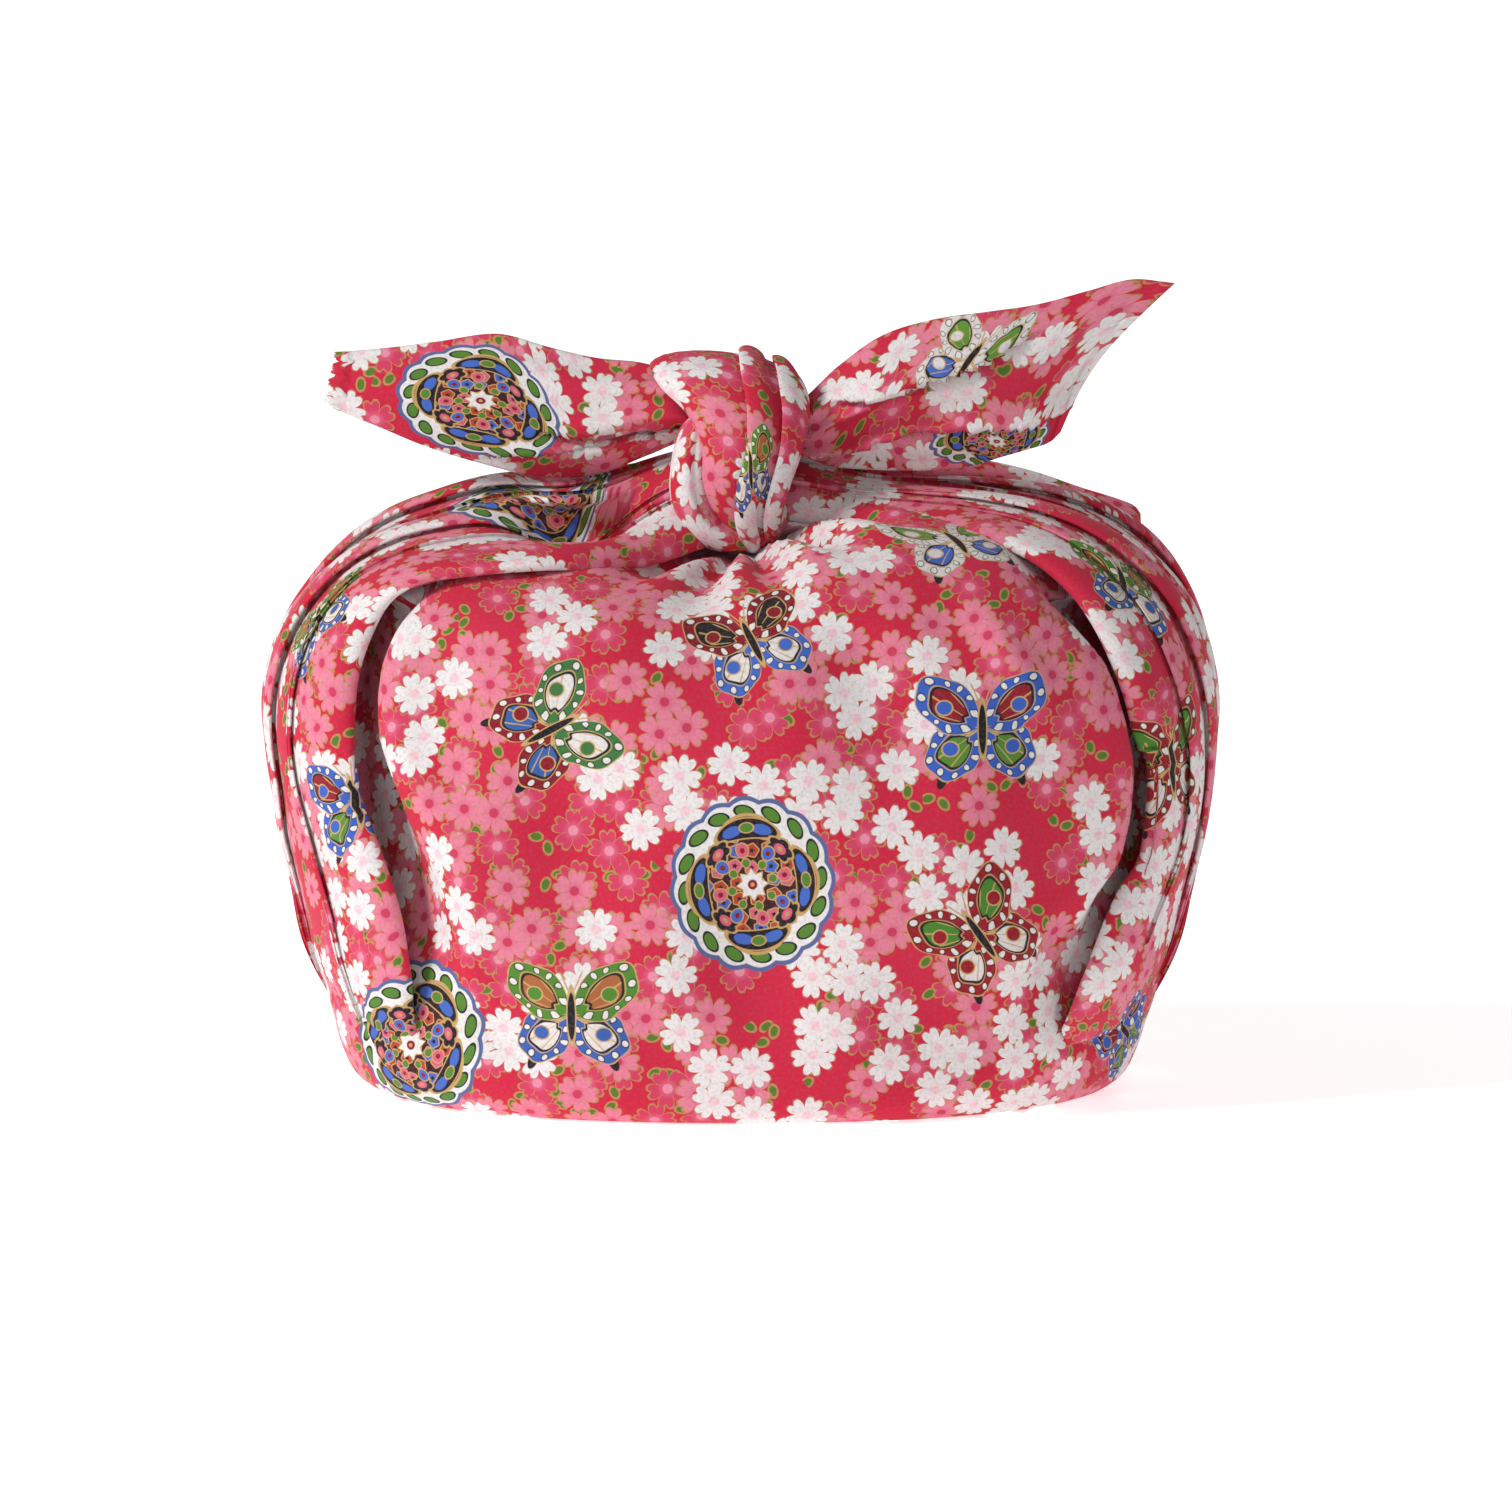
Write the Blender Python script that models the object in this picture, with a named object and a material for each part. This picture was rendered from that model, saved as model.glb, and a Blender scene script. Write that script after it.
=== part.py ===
"""Furoshiki bag: one hemmed square of cotton wrapped round a load and tied on top.

The cloth is one solid. Its near corner makes the front panel and the flap over the top,
its far corner the back, and its side corners are gathered into two pleated straps that
meet in a square knot and end in two free ears. The inside is hollow and opens through a
slit behind the straps. Lengths in the tables are millimetres; the mesh is in metres.
"""
import bmesh
import bpy
import numpy as np

MM = 0.001
SHARP_ANGLE = np.radians(35.0)
CLOTH_THICKNESS = 2.3
RING_POINTS = 60
BODY_STATIONS = 20
STRAP_STATIONS = 20
STRAP_OUTER_POINTS = 27
STRAP_INNER_POINTS = 14

# Body sections from the middle of the base to the slit: height, half width, front edge,
# back edge, squareness of the outline.
BODY_ROWS = (
    (0.0, 74.0, -55.0, 53.5, 2.8),
    (0.0, 85.5, -64.5, 62.5, 2.9),
    (1.4, 89.0, -68.5, 66.5, 2.95),
    (5.0, 91.0, -71.0, 69.0, 3.0),
    (15.0, 93.5, -73.0, 71.0, 2.95),
    (35.0, 97.8, -75.5, 73.5, 2.85),
    (60.0, 101.8, -77.5, 75.5, 2.75),
    (84.0, 104.2, -77.0, 75.5, 2.7),
    (103.0, 100.8, -73.5, 72.5, 2.6),
    (115.0, 94.5, -68.0, 67.5, 2.5),
    (122.0, 87.0, -60.5, 62.0, 2.45),
    (126.0, 77.5, -51.0, 57.5, 2.4),
    (127.8, 68.0, -38.0, 53.0, 2.4),
    (127.8, 60.0, -20.0, 49.5, 2.4),
    (127.0, 54.0, 0.0, 46.0, 2.4),
    (127.3, 50.0, 17.0, 44.5, 2.4),
    (127.8, 44.0, 27.0, 41.0, 2.2),
)

# Where the outline needs more points, for the folds beside the straps: share of the way
# round from the middle of the back, half width, how many times more.
DENSE_PLACES = (
    (0.165, 0.030, 1.9),
    (0.345, 0.036, 2.6),
    (0.655, 0.036, 2.6),
    (0.835, 0.030, 1.9),
)

# Front edge, crown and back edge (x, y, z each) of the strap on the left, from the base
# up the side and over the shoulder into the knot, then how hollow its underside is.
LEFT_STRAP_ROWS = (
    (-72.0, -50.0, 4.0, -89.5, 0.0, 4.0, -72.0, 50.0, 4.0, 0.8),
    (-76.5, -56.0, 14.0, -94.0, 0.0, 14.0, -76.5, 56.0, 14.0, 0.8),
    (-76.0, -61.0, 33.0, -99.5, 0.0, 33.0, -77.5, 60.0, 33.0, 0.8),
    (-79.0, -61.5, 48.0, -102.0, 0.0, 48.0, -80.5, 60.0, 48.0, 0.8),
    (-83.5, -60.0, 62.0, -104.5, 0.0, 62.0, -84.5, 58.0, 62.0, 0.8),
    (-88.5, -55.0, 76.0, -106.8, 0.0, 76.0, -88.5, 54.0, 76.0, 0.8),
    (-89.5, -53.0, 90.0, -107.5, 0.0, 91.0, -89.5, 51.0, 90.0, 0.8),
    (-88.0, -49.5, 103.0, -104.0, 0.0, 104.0, -87.5, 48.0, 103.0, 0.8),
    (-84.0, -47.0, 113.0, -98.0, 0.0, 113.5, -82.5, 45.0, 113.0, 0.75),
    (-78.0, -46.0, 120.5, -90.0, 0.0, 122.0, -76.5, 41.0, 121.0, 0.7),
    (-69.0, -45.0, 125.0, -80.5, 0.0, 128.5, -68.5, 34.0, 127.0, 0.5),
    (-57.0, -42.0, 127.5, -68.5, 0.0, 133.5, -58.0, 25.0, 130.5, 0.25),
    (-43.7, -38.0, 129.5, -55.0, -1.0, 137.8, -46.0, 17.0, 131.5, 0.05),
    (-32.0, -34.0, 131.0, -40.0, -3.0, 139.5, -34.0, 10.0, 131.5, 0.0),
    (-21.0, -30.0, 131.5, -26.0, -6.0, 141.5, -22.0, 5.0, 132.0, -0.1),
    (-8.0, -22.0, 134.0, -10.0, -8.0, 147.0, -8.0, 3.0, 135.0, -0.1),
)

RIGHT_STRAP_ROWS = (
    (74.5, -55.0, 4.0, 91.5, 0.0, 4.0, 73.0, 50.0, 4.0, 0.8),
    (76.0, -59.0, 15.0, 96.0, 0.0, 15.0, 77.0, 56.0, 14.0, 0.8),
    (79.0, -60.5, 32.0, 100.0, 0.0, 33.0, 79.0, 60.0, 33.0, 0.8),
    (84.5, -56.5, 45.0, 102.5, 0.0, 46.0, 82.0, 60.0, 47.0, 0.8),
    (91.0, -51.0, 60.0, 105.0, 0.0, 62.0, 85.5, 58.0, 62.0, 0.8),
    (92.5, -50.0, 75.0, 107.0, 0.0, 76.0, 88.5, 54.0, 76.0, 0.8),
    (90.5, -52.0, 91.0, 107.8, 0.0, 91.0, 89.5, 51.0, 90.0, 0.8),
    (87.5, -51.5, 101.0, 105.2, 0.0, 104.0, 88.0, 48.0, 103.0, 0.8),
    (83.0, -50.5, 111.0, 101.0, 0.0, 113.5, 84.0, 46.0, 113.0, 0.75),
    (77.0, -49.0, 120.0, 94.0, 0.0, 122.5, 79.5, 42.0, 122.0, 0.7),
    (69.0, -45.0, 127.0, 84.5, 0.0, 129.5, 72.0, 37.0, 128.0, 0.5),
    (59.0, -39.0, 131.5, 72.5, 0.0, 134.5, 61.5, 29.0, 131.0, 0.25),
    (47.0, -33.0, 133.5, 58.0, -2.0, 137.5, 49.0, 20.0, 132.0, 0.05),
    (34.0, -28.0, 133.5, 43.0, -4.0, 139.5, 36.0, 13.0, 132.0, 0.0),
    (22.0, -25.0, 133.0, 27.0, -7.0, 141.5, 23.0, 8.0, 132.0, -0.1),
    (8.0, -21.0, 134.0, 11.0, -9.0, 146.0, 9.0, 4.0, 135.0, -0.1),
)

# Pleats of each strap: place across it (0 front edge, 1 back edge), width of the soft
# side, height. The other side is steeper.
LEFT_PLEATS = (
    (0.03, 0.040, 1.4),
    (0.17, 0.060, 3.0),
    (0.33, 0.055, 2.3),
    (0.49, 0.065, 3.2),
    (0.66, 0.060, 2.4),
    (0.83, 0.060, 2.8),
)
RIGHT_PLEATS = (
    (0.03, 0.040, 1.2),
    (0.19, 0.065, 3.2),
    (0.36, 0.055, 2.2),
    (0.52, 0.065, 3.0),
    (0.69, 0.060, 2.4),
    (0.85, 0.060, 2.6),
)

# How far a strap's outer face lies outside the body wall at each height.
LIFT_ROWS = ((4.0, -1.0), (13.0, 0.8), (30.0, 2.0), (60.0, 2.8), (104.0, 2.8), (120.0, 2.0))

# How far the panel sinks beside a strap's edge at each height.
CREVICE_ROWS = (
    (0.0, 0.0),
    (33.0, 0.5),
    (60.0, 4.0),
    (88.0, 8.0),
    (110.0, 7.5),
    (124.0, 3.5),
    (130.0, 0.0),
)

# Soft dents and swells of the front panel: x, z, half width, half height, turn in
# degrees, depth inwards (a swell is negative).
PANEL_DENTS = (
    (-69.0, 38.0, 5.0, 22.0, 8.0, 2.6),
    (72.0, 38.0, 4.5, 21.0, -17.0, 3.2),
    (58.0, 112.0, 4.0, 16.0, 38.0, -2.2),
    (-20.0, 112.0, 26.0, 4.0, 6.0, 1.6),
    (28.0, 108.0, 8.0, 10.0, -30.0, 1.4),
    (0.0, 62.0, 44.0, 30.0, 0.0, -1.6),
    (86.0, 36.0, 5.0, 18.0, 32.0, -1.8),
    (-44.0, 84.0, 9.0, 18.0, 20.0, 1.0),
)

# Bands of the knot: edge, crown and other edge of each section, and hollowness.
MAIN_WRAP_ROWS = (
    (-9.0, -2.0, 136.0, -1.0, 4.0, 134.0, 8.0, -2.0, 136.0, -0.2),
    (-14.0, 2.0, 149.0, -2.0, 9.0, 149.0, 11.0, 1.0, 149.0, -0.2),
    (-18.0, -2.0, 161.0, -4.0, 3.0, 164.0, 11.0, -3.0, 160.0, -0.2),
    (-20.2, -10.0, 165.5, -4.0, -9.0, 169.5, 12.5, -11.0, 163.5, -0.2),
    (-18.0, -20.0, 162.5, -2.0, -22.0, 166.0, 14.3, -19.0, 160.0, -0.2),
    (-11.0, -24.0, 155.5, 2.0, -30.0, 157.5, 14.8, -22.0, 154.0, -0.2),
    (-11.0, -25.0, 146.0, 1.0, -32.5, 146.5, 12.8, -24.0, 145.0, -0.2),
    (-9.5, -24.5, 137.5, 0.5, -31.0, 136.5, 9.5, -24.0, 136.0, -0.2),
    (-4.5, -20.0, 131.5, 1.0, -25.5, 129.5, 5.5, -20.0, 131.0, -0.2),
    (-3.5, -13.0, 134.5, 1.0, -15.0, 130.0, 4.5, -13.0, 134.5, -0.1),
)

# Rounded folds: centre, half width across the front, half depth, turn in degrees.
LOWER_FOLD_ROWS = (
    (-8.0, -14.0, 155.0, 3.5, 5.0),
    (-13.0, -20.0, 151.0, 4.6, 6.0),
    (-15.6, -22.0, 143.0, 5.4, 6.5),
    (-13.5, -23.0, 135.0, 5.2, 6.5),
    (-7.0, -22.5, 131.0, 4.0, 6.5),
    (1.0, -21.0, 130.0, 3.2, 5.5),
    (8.0, -18.0, 131.5, 3.2, 5.0),
    (12.0, -12.0, 136.0, 3.0, 4.0),
)
BACK_FOLD_ROWS = (
    (-13.0, -8.0, 138.0, 4.0, 5.0),
    (-9.0, 2.0, 136.0, 5.0, 5.5),
    (0.0, 5.5, 138.0, 5.0, 5.5),
    (9.0, 4.5, 143.0, 5.0, 5.5),
    (14.0, -1.0, 150.0, 5.0, 5.5),
    (13.0, -8.0, 156.0, 4.0, 5.0),
)
SHOULDER_LIP_ROWS = (
    (12.0, 2.0, 140.0, 3.2, 3.6),
    (36.0, 8.0, 139.5, 4.2, 4.0),
    (57.0, 13.0, 137.4, 4.6, 4.0),
    (67.0, 16.0, 134.4, 4.8, 3.8),
    (77.0, 18.5, 130.6, 4.8, 3.6),
    (86.0, 20.0, 127.6, 4.8, 3.2),
    (92.5, 20.5, 125.4, 4.4, 2.8),
)
KNOT_CORE = (-1.0, -11.0, 148.0, 13.0, 13.0, 15.0)

# Ears from root to tip: lower edge (x, y, z), upper edge (x, y, z), how far the lower lobe,
# the crease and the upper lobe come forward, the thickness of the gathers, and how far
# the middle of the section bows to the right.
LEFT_EAR_ROWS = (
    (-4.0, -10.0, 148.0, -4.0, -10.0, 158.0, 0.0, 0.0, 0.0, 7.0, 0.0),
    (-12.0, -11.0, 150.0, -14.0, -11.0, 165.5, 3.0, 0.5, 3.0, 6.4, 0.0),
    (-21.0, -11.0, 146.5, -22.0, -11.0, 167.8, 4.5, -0.5, 4.0, 5.0, 0.0),
    (-33.5, -12.0, 142.0, -33.0, -11.0, 169.0, 5.5, 0.5, 4.0, 4.0, 0.0),
    (-46.0, -13.0, 141.8, -43.5, -12.0, 171.5, 5.0, 2.0, 3.5, 3.2, 0.0),
    (-60.0, -13.0, 145.0, -55.5, -12.0, 174.6, 4.0, 2.6, 2.6, 2.8, 0.0),
    (-73.0, -12.0, 149.0, -70.0, -11.0, 172.6, 3.0, 2.4, 2.0, 2.6, 0.0),
    (-84.0, -11.0, 153.5, -82.0, -10.0, 171.0, 2.0, 1.6, 1.0, 2.4, 0.0),
    (-95.0, -9.0, 157.5, -92.5, -9.0, 170.0, 0.5, 0.8, 0.5, 2.3, 0.0),
)
RIGHT_EAR_ROWS = (
    (4.0, -10.0, 148.0, 4.0, -10.0, 158.0, 0.0, 0.0, 0.0, 7.0, 0.0),
    (13.0, -11.0, 146.8, 14.5, -11.0, 160.5, 3.5, 0.5, 3.0, 6.4, 0.0),
    (20.0, -12.0, 144.2, 22.5, -11.0, 167.5, 5.5, 0.0, 4.5, 5.2, 0.0),
    (30.4, -13.0, 143.4, 32.0, -12.0, 174.3, 6.0, 0.5, 6.0, 4.2, 0.0),
    (41.5, -13.0, 143.2, 44.0, -12.0, 178.2, 5.5, 2.0, 6.0, 3.4, 0.0),
    (52.0, -13.0, 144.0, 57.0, -12.0, 180.2, 4.8, 2.5, 5.0, 3.0, 0.0),
    (60.5, -12.0, 146.3, 69.0, -11.0, 181.5, 4.0, 2.0, 3.6, 2.7, 0.0),
    (66.5, -11.0, 147.9, 80.0, -9.0, 184.2, 2.6, 1.4, 2.4, 2.5, -1.0),
    (71.0, -10.0, 149.3, 90.5, -7.0, 186.6, 1.4, 0.8, 1.4, 2.4, -2.4),
    (73.6, -9.0, 151.6, 99.7, -5.0, 185.4, 0.5, 0.4, 0.5, 2.3, -3.8),
)


def smooth(value):
    """A soft step from 0 to 1."""
    t = np.clip(value, 0.0, 1.0)
    return t * t * (3.0 - 2.0 * t)


def curve_through(rows, count, columns):
    """Rows at even steps along a smooth curve through the table's rows."""
    table = np.asarray(rows, float)
    steps = np.linalg.norm(np.diff(table[:, columns], axis=0), axis=1)
    knots = np.concatenate([[0.0], np.cumsum(np.maximum(steps, 1e-6))])
    slopes = np.gradient(table, knots, axis=0)
    where = np.linspace(0.0, knots[-1], count)
    i = np.clip(np.searchsorted(knots, where, side="right") - 1, 0, len(knots) - 2)
    span = knots[i + 1] - knots[i]
    t = ((where - knots[i]) / span)[:, None]
    h = span[:, None]
    a = (2 * t**3 - 3 * t**2 + 1) * table[i] + (t**3 - 2 * t**2 + t) * h * slopes[i]
    b = (-2 * t**3 + 3 * t**2) * table[i + 1] + (t**3 - t**2) * h * slopes[i + 1]
    return a + b


def outline(half_width, front, back, squareness, count):
    """Points round a rounded outline, starting at the middle of the back."""
    angle = np.linspace(0.0, 2.0 * np.pi, 1441)
    power = 2.0 / squareness
    x = half_width * np.sign(np.sin(angle)) * np.abs(np.sin(angle)) ** power
    y = np.sign(np.cos(angle)) * np.abs(np.cos(angle)) ** power
    y = 0.5 * (front + back) + 0.5 * (back - front) * y
    length = np.concatenate([[0.0], np.cumsum(np.hypot(np.diff(x), np.diff(y)))])
    share = length / length[-1]
    density = np.ones(len(share))
    for place, width, more in DENSE_PLACES:
        density += more * np.exp(-(((share - place) / width) ** 2))
    grown = 0.5 * (density[1:] + density[:-1]) * np.diff(share)
    packed = np.concatenate([[0.0], np.cumsum(grown)])
    where = np.linspace(0.0, packed[-1], count, endpoint=False)
    return np.column_stack([np.interp(where, packed, x), np.interp(where, packed, y)])


def wall_side(y, z):
    """Half width of the body wall at a depth and a height."""
    table = np.asarray(BODY_ROWS[2:13])
    values = [np.interp(z, table[:, 0], table[:, k]) for k in range(1, 5)]
    half_width, front, back, squareness = values
    share = np.abs(y - 0.5 * (front + back)) / (0.5 * (back - front))
    share = np.clip(share, 0.0, 0.999)
    return half_width * (1.0 - share**squareness) ** (1.0 / squareness)


def edge_at(rows, first, z):
    """Place (x, y) of a strap's edge at a height."""
    table = np.asarray(rows)[:12]
    x = np.interp(z, table[:, first + 2], table[:, first])
    y = np.interp(z, table[:, first + 2], table[:, first + 1])
    return x, y


def crease(points):
    """Move body points in beside the straps and for the dents of the front panel."""
    x, y, z = points[:, 0], points[:, 1], points[:, 2]
    depth = np.interp(z, *np.asarray(CREVICE_ROWS).T)
    inward = np.zeros(len(points))
    for rows, sign in ((LEFT_STRAP_ROWS, -1.0), (RIGHT_STRAP_ROWS, 1.0)):
        for first, end in ((0, -1.0), (6, 1.0)):
            edge_x, edge_y = edge_at(rows, first, z)
            edge_x = edge_x - sign * 3.0
            edge_y = edge_y + end * 3.0
            away = np.hypot(x - edge_x, y - edge_y)
            inward += depth * np.exp(-((away / 7.5) ** 2))
    front = y < -5.0
    for cx, cz, half_x, half_z, turn, dent in PANEL_DENTS:
        c, s = np.cos(np.radians(turn)), np.sin(np.radians(turn))
        u = (c * (x - cx) + s * (z - cz)) / half_x
        v = (-s * (x - cx) + c * (z - cz)) / half_z
        low = smooth((z - 4.0) / 14.0)
        inward += np.where(front, dent * low * np.exp(-(u * u) - v * v), 0.0)
    flat = np.maximum(np.hypot(x / 1.4, y), 1e-6)
    side = smooth((122.0 - z) / 8.0)
    points[:, 0] -= inward * side * (x / 1.4) / flat
    points[:, 1] -= inward * side * y / flat
    points[:, 2] -= inward * (1.0 - side) * 0.4
    return points


def rim(points):
    """Lift the flap's rim on the right of the knot and press it down under the knot."""
    x, y, z = points[:, 0], points[:, 1], points[:, 2]
    near_top = smooth((z - 108.0) / 18.0)
    ahead = smooth((12.0 - y) / 30.0)
    rise = 6.5 * smooth((x + 4.0) / 34.0) * (1.0 - smooth((x - 58.0) / 26.0))
    dip = 3.6 * np.exp(-(((x + 2.0) / 17.0) ** 2)) * smooth((8.0 - y) / 20.0)
    ripple = 0.5 * np.sin(0.19 * x + 1.2) * np.exp(-(((y + 45.0) / 22.0) ** 2))
    points[:, 2] += near_top * (ahead * rise - dip + ripple)
    return points


def grid_normals(grid):
    """Unit normals of a grid of rings that close round."""
    along = np.gradient(grid, axis=0)
    around = np.roll(grid, -1, axis=1) - np.roll(grid, 1, axis=1)
    normal = np.cross(around, along)
    return normal / np.maximum(np.linalg.norm(normal, axis=2, keepdims=True), 1e-9)


def crescent_cap(first, outer, inner):
    """Faces over a crescent ring of outer points then inner points in backward order."""
    faces = []
    ring = outer + inner
    for k in range(inner - 1):
        low = (ring - 1 - k, ring - 2 - k)
        faces.append([first + i for i in (2 * k, 2 * k + 1, 2 * k + 2, low[1], low[0])])
    return faces


def closed_loft(name, rings, start=None, end=None, crescent=None):
    """A closed mesh through rings of points, with a fan or a crescent cap at each end."""
    rings = np.asarray(rings, float)
    rows, count = rings.shape[:2]
    start = rings[0].mean(axis=0) if start is None else np.asarray(start, float)
    end = rings[-1].mean(axis=0) if end is None else np.asarray(end, float)
    points = np.vstack([rings.reshape(-1, 3), start, end]) * MM
    k = np.arange(count)
    n = (k + 1) % count
    faces = []
    for row in range(rows - 1):
        a, b = row * count, (row + 1) * count
        faces += np.column_stack([a + k, a + n, b + n, b + k]).tolist()
    first, last, top = rows * count, rows * count + 1, (rows - 1) * count
    if crescent:
        points = points[:-2]
        faces += crescent_cap(0, *crescent) + crescent_cap(top, *crescent)
    else:
        faces += np.column_stack([n, k, np.full(count, first)]).tolist()
        faces += np.column_stack([top + k, top + n, np.full(count, last)]).tolist()
    mesh = bpy.data.meshes.new(name)
    mesh.from_pydata(points.tolist(), [], faces)
    work = bmesh.new()
    work.from_mesh(mesh)
    bmesh.ops.recalc_face_normals(work, faces=work.faces)
    if work.calc_volume(signed=True) < 0.0:
        bmesh.ops.reverse_faces(work, faces=work.faces)
    work.to_mesh(mesh)
    work.free()
    thing = bpy.data.objects.new(name, mesh)
    GUIDES.objects.link(thing)
    return thing


def body_shell():
    """The hollow wrap: base, front panel and flap, sides and back, open at the slit."""
    rows = curve_through(BODY_ROWS, BODY_STATIONS, [0, 1, 2, 3])
    rows[:, 0] = np.maximum(rows[:, 0], 0.0)
    rings = []
    for z, half_width, front, back, squareness in rows:
        ring = outline(half_width, front, back, squareness, RING_POINTS)
        points = np.column_stack([ring, np.full(RING_POINTS, z)])
        rings.append(rim(crease(points)))
    outer = np.asarray(rings)
    normal = grid_normals(outer)
    turned = np.sign((normal[7] * (outer[7] - outer[7].mean(axis=0))).sum())
    normal *= turned
    lip = smooth((np.arange(BODY_STATIONS) - BODY_STATIONS + 6.0) / 4.0)[:, None, None]
    normal = (1.0 - lip) * normal + lip * np.array((0.0, 0.0, 1.0))
    inner = outer - normal * CLOTH_THICKNESS
    inner[:, :, 2] = np.maximum(inner[:, :, 2], CLOTH_THICKNESS)
    rings = np.concatenate([outer, inner[::-1]])
    return closed_loft("body", rings, (0.0, 0.0, 0.0), (0.0, 0.0, CLOTH_THICKNESS))


def strap(name, rows, pleats, sign):
    """A pleated layer of cloth over the side wall that gathers into a bundle."""
    rows = curve_through(rows, STRAP_STATIONS, [3, 4, 5])
    rings = []
    for station, row in enumerate(rows):
        front, crown, back = row[0:3], row[3:6], row[6:9]
        hollow = row[9]
        middle = 0.5 * (front + back)
        half = 0.5 * (back - front)
        rise = crown - middle
        out = rise / np.linalg.norm(rise)
        u = np.linspace(0.0, 1.0, STRAP_OUTER_POINTS)
        phi = np.pi * u[:, None]
        outer = middle - half * np.cos(phi) + rise * np.sin(phi)
        on_wall = 1.0 - smooth((outer[:, 2] - 104.0) / 12.0)
        lift = np.interp(outer[:, 2], *np.asarray(LIFT_ROWS).T)
        wall = wall_side(outer[:, 1], outer[:, 2])
        beyond = np.maximum(sign * outer[:, 0], wall + lift)
        outer[:, 0] += on_wall * (sign * beyond - outer[:, 0])
        share = station / (len(rows) - 1.0)
        grown = smooth((share - 0.03) / 0.2) * (1.0 - 0.35 * smooth((share - 0.6) / 0.3))
        for place, width, height in pleats:
            drift = 0.02 * np.sin(5.0 * share + 9.0 * place)
            away = u - place - drift
            bump = np.exp(-((away / np.where(away > 0.0, width, 0.6 * width)) ** 2))
            outer += (grown * height * bump)[:, None] * out
        v = np.linspace(1.0, 0.0, STRAP_INNER_POINTS)
        phi = np.pi * v[:, None]
        near = 1.0 - 2.6 / max(np.linalg.norm(half), 6.0)
        inner = middle - near * half * np.cos(phi) + hollow * rise * np.sin(phi)
        on_wall = 1.0 - smooth((inner[:, 2] - 104.0) / 12.0)
        wall = wall_side(inner[:, 1], inner[:, 2]) - 1.7
        inner[:, 0] += on_wall * (sign * wall - inner[:, 0])
        rings.append(np.vstack([outer, inner]))
    sizes = (STRAP_OUTER_POINTS, STRAP_INNER_POINTS)
    return closed_loft(name, rings, crescent=sizes)


def band(name, rows, stations, ridges):
    """A creased band of the knot between two edges."""
    rows = curve_through(rows, stations, [3, 4, 5])
    rings = []
    for row in rows:
        near, crown, far, hollow = row[0:3], row[3:6], row[6:9], row[9]
        middle = 0.5 * (near + far)
        half = 0.5 * (far - near)
        rise = crown - middle
        u = np.linspace(0.0, 1.0, 15)
        phi = np.pi * u[:, None]
        outer = middle - half * np.cos(phi) + rise * np.sin(phi)
        out = rise / max(np.linalg.norm(rise), 1e-6)
        for place, width, height in ridges:
            bump = np.exp(-(((u - place) / width) ** 2))
            outer += (height * bump)[:, None] * out
        phi = np.pi * np.linspace(0.9, 0.1, 5)[:, None]
        inner = middle - half * np.cos(phi) + hollow * rise * np.sin(phi)
        rings.append(np.vstack([outer, inner]))
    return closed_loft(name, rings)


def rounded_fold(name, rows, stations, count):
    """A tapering rounded fold along a path."""
    rows = curve_through(rows, stations, [0, 1, 2])
    path = rows[:, 0:3]
    along = np.gradient(path, axis=0)
    along /= np.linalg.norm(along, axis=1, keepdims=True)
    depth = np.array((0.0, 1.0, 0.0))
    rings = []
    for centre, forward, wide, deep in zip(path, along, rows[:, 3], rows[:, 4]):
        back = depth - forward * (depth @ forward)
        back /= max(np.linalg.norm(back), 1e-6)
        across = np.cross(forward, back)
        angle = np.linspace(0.0, 2.0 * np.pi, count, endpoint=False)[:, None]
        rings.append(centre + wide * np.cos(angle) * across + deep * np.sin(angle) * back)
    return closed_loft(name, rings)


def ear(name, rows, stations):
    """A free end of the cloth: a folded leaf with two lobes and a crease between."""
    rows = curve_through(rows, stations, [0, 1, 2, 3, 4, 5])
    u = np.linspace(0.0, 1.0, 11)
    places = np.array((0.0, 0.16, 0.36, 0.68, 1.0))
    rings = []
    for row in rows:
        low, high = row[0:3], row[3:6]
        lobes = np.array((0.0, row[6], row[7], row[8], 0.0))
        ahead = np.interp(u, places, lobes)
        ahead[1:-1] = 0.25 * ahead[:-2] + 0.5 * ahead[1:-1] + 0.25 * ahead[2:]
        spine = low + (high - low) * u[:, None]
        spine[:, 1] -= ahead
        spine[:, 0] += row[10] * np.sin(np.pi * u)
        half = 0.5 * row[9] * (0.55 + 0.45 * np.sin(np.pi * u))
        front, back = spine.copy(), spine.copy()
        front[:, 1] -= half
        back[:, 1] += half
        rings.append(np.vstack([front, back[::-1]]))
    return closed_loft(name, rings)


def core(centre_and_sizes):
    """The tight middle of the knot."""
    x, y, z, a, b, c = centre_and_sizes
    rings = []
    for lift in np.linspace(-0.9, 0.9, 7):
        angle = np.linspace(0.0, 2.0 * np.pi, 14, endpoint=False)
        size = np.sqrt(1.0 - lift * lift)
        across = x + a * size * np.cos(angle)
        deep = y + b * size * np.sin(angle)
        rings.append(np.column_stack([across, deep, np.full(14, z + c * lift)]))
    return closed_loft("core", rings, (x, y, z - c), (x, y, z + c))


def cloth_material():
    """Printed cotton seen from afar: rose red."""
    material = bpy.data.materials.new("printed cotton")
    material.use_nodes = True
    shader = material.node_tree.nodes["Principled BSDF"]
    shader.inputs["Base Color"].default_value = (0.72, 0.16, 0.25, 1.0)
    shader.inputs["Roughness"].default_value = 0.85
    material.diffuse_color = (0.72, 0.16, 0.25, 1.0)
    return material


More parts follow.
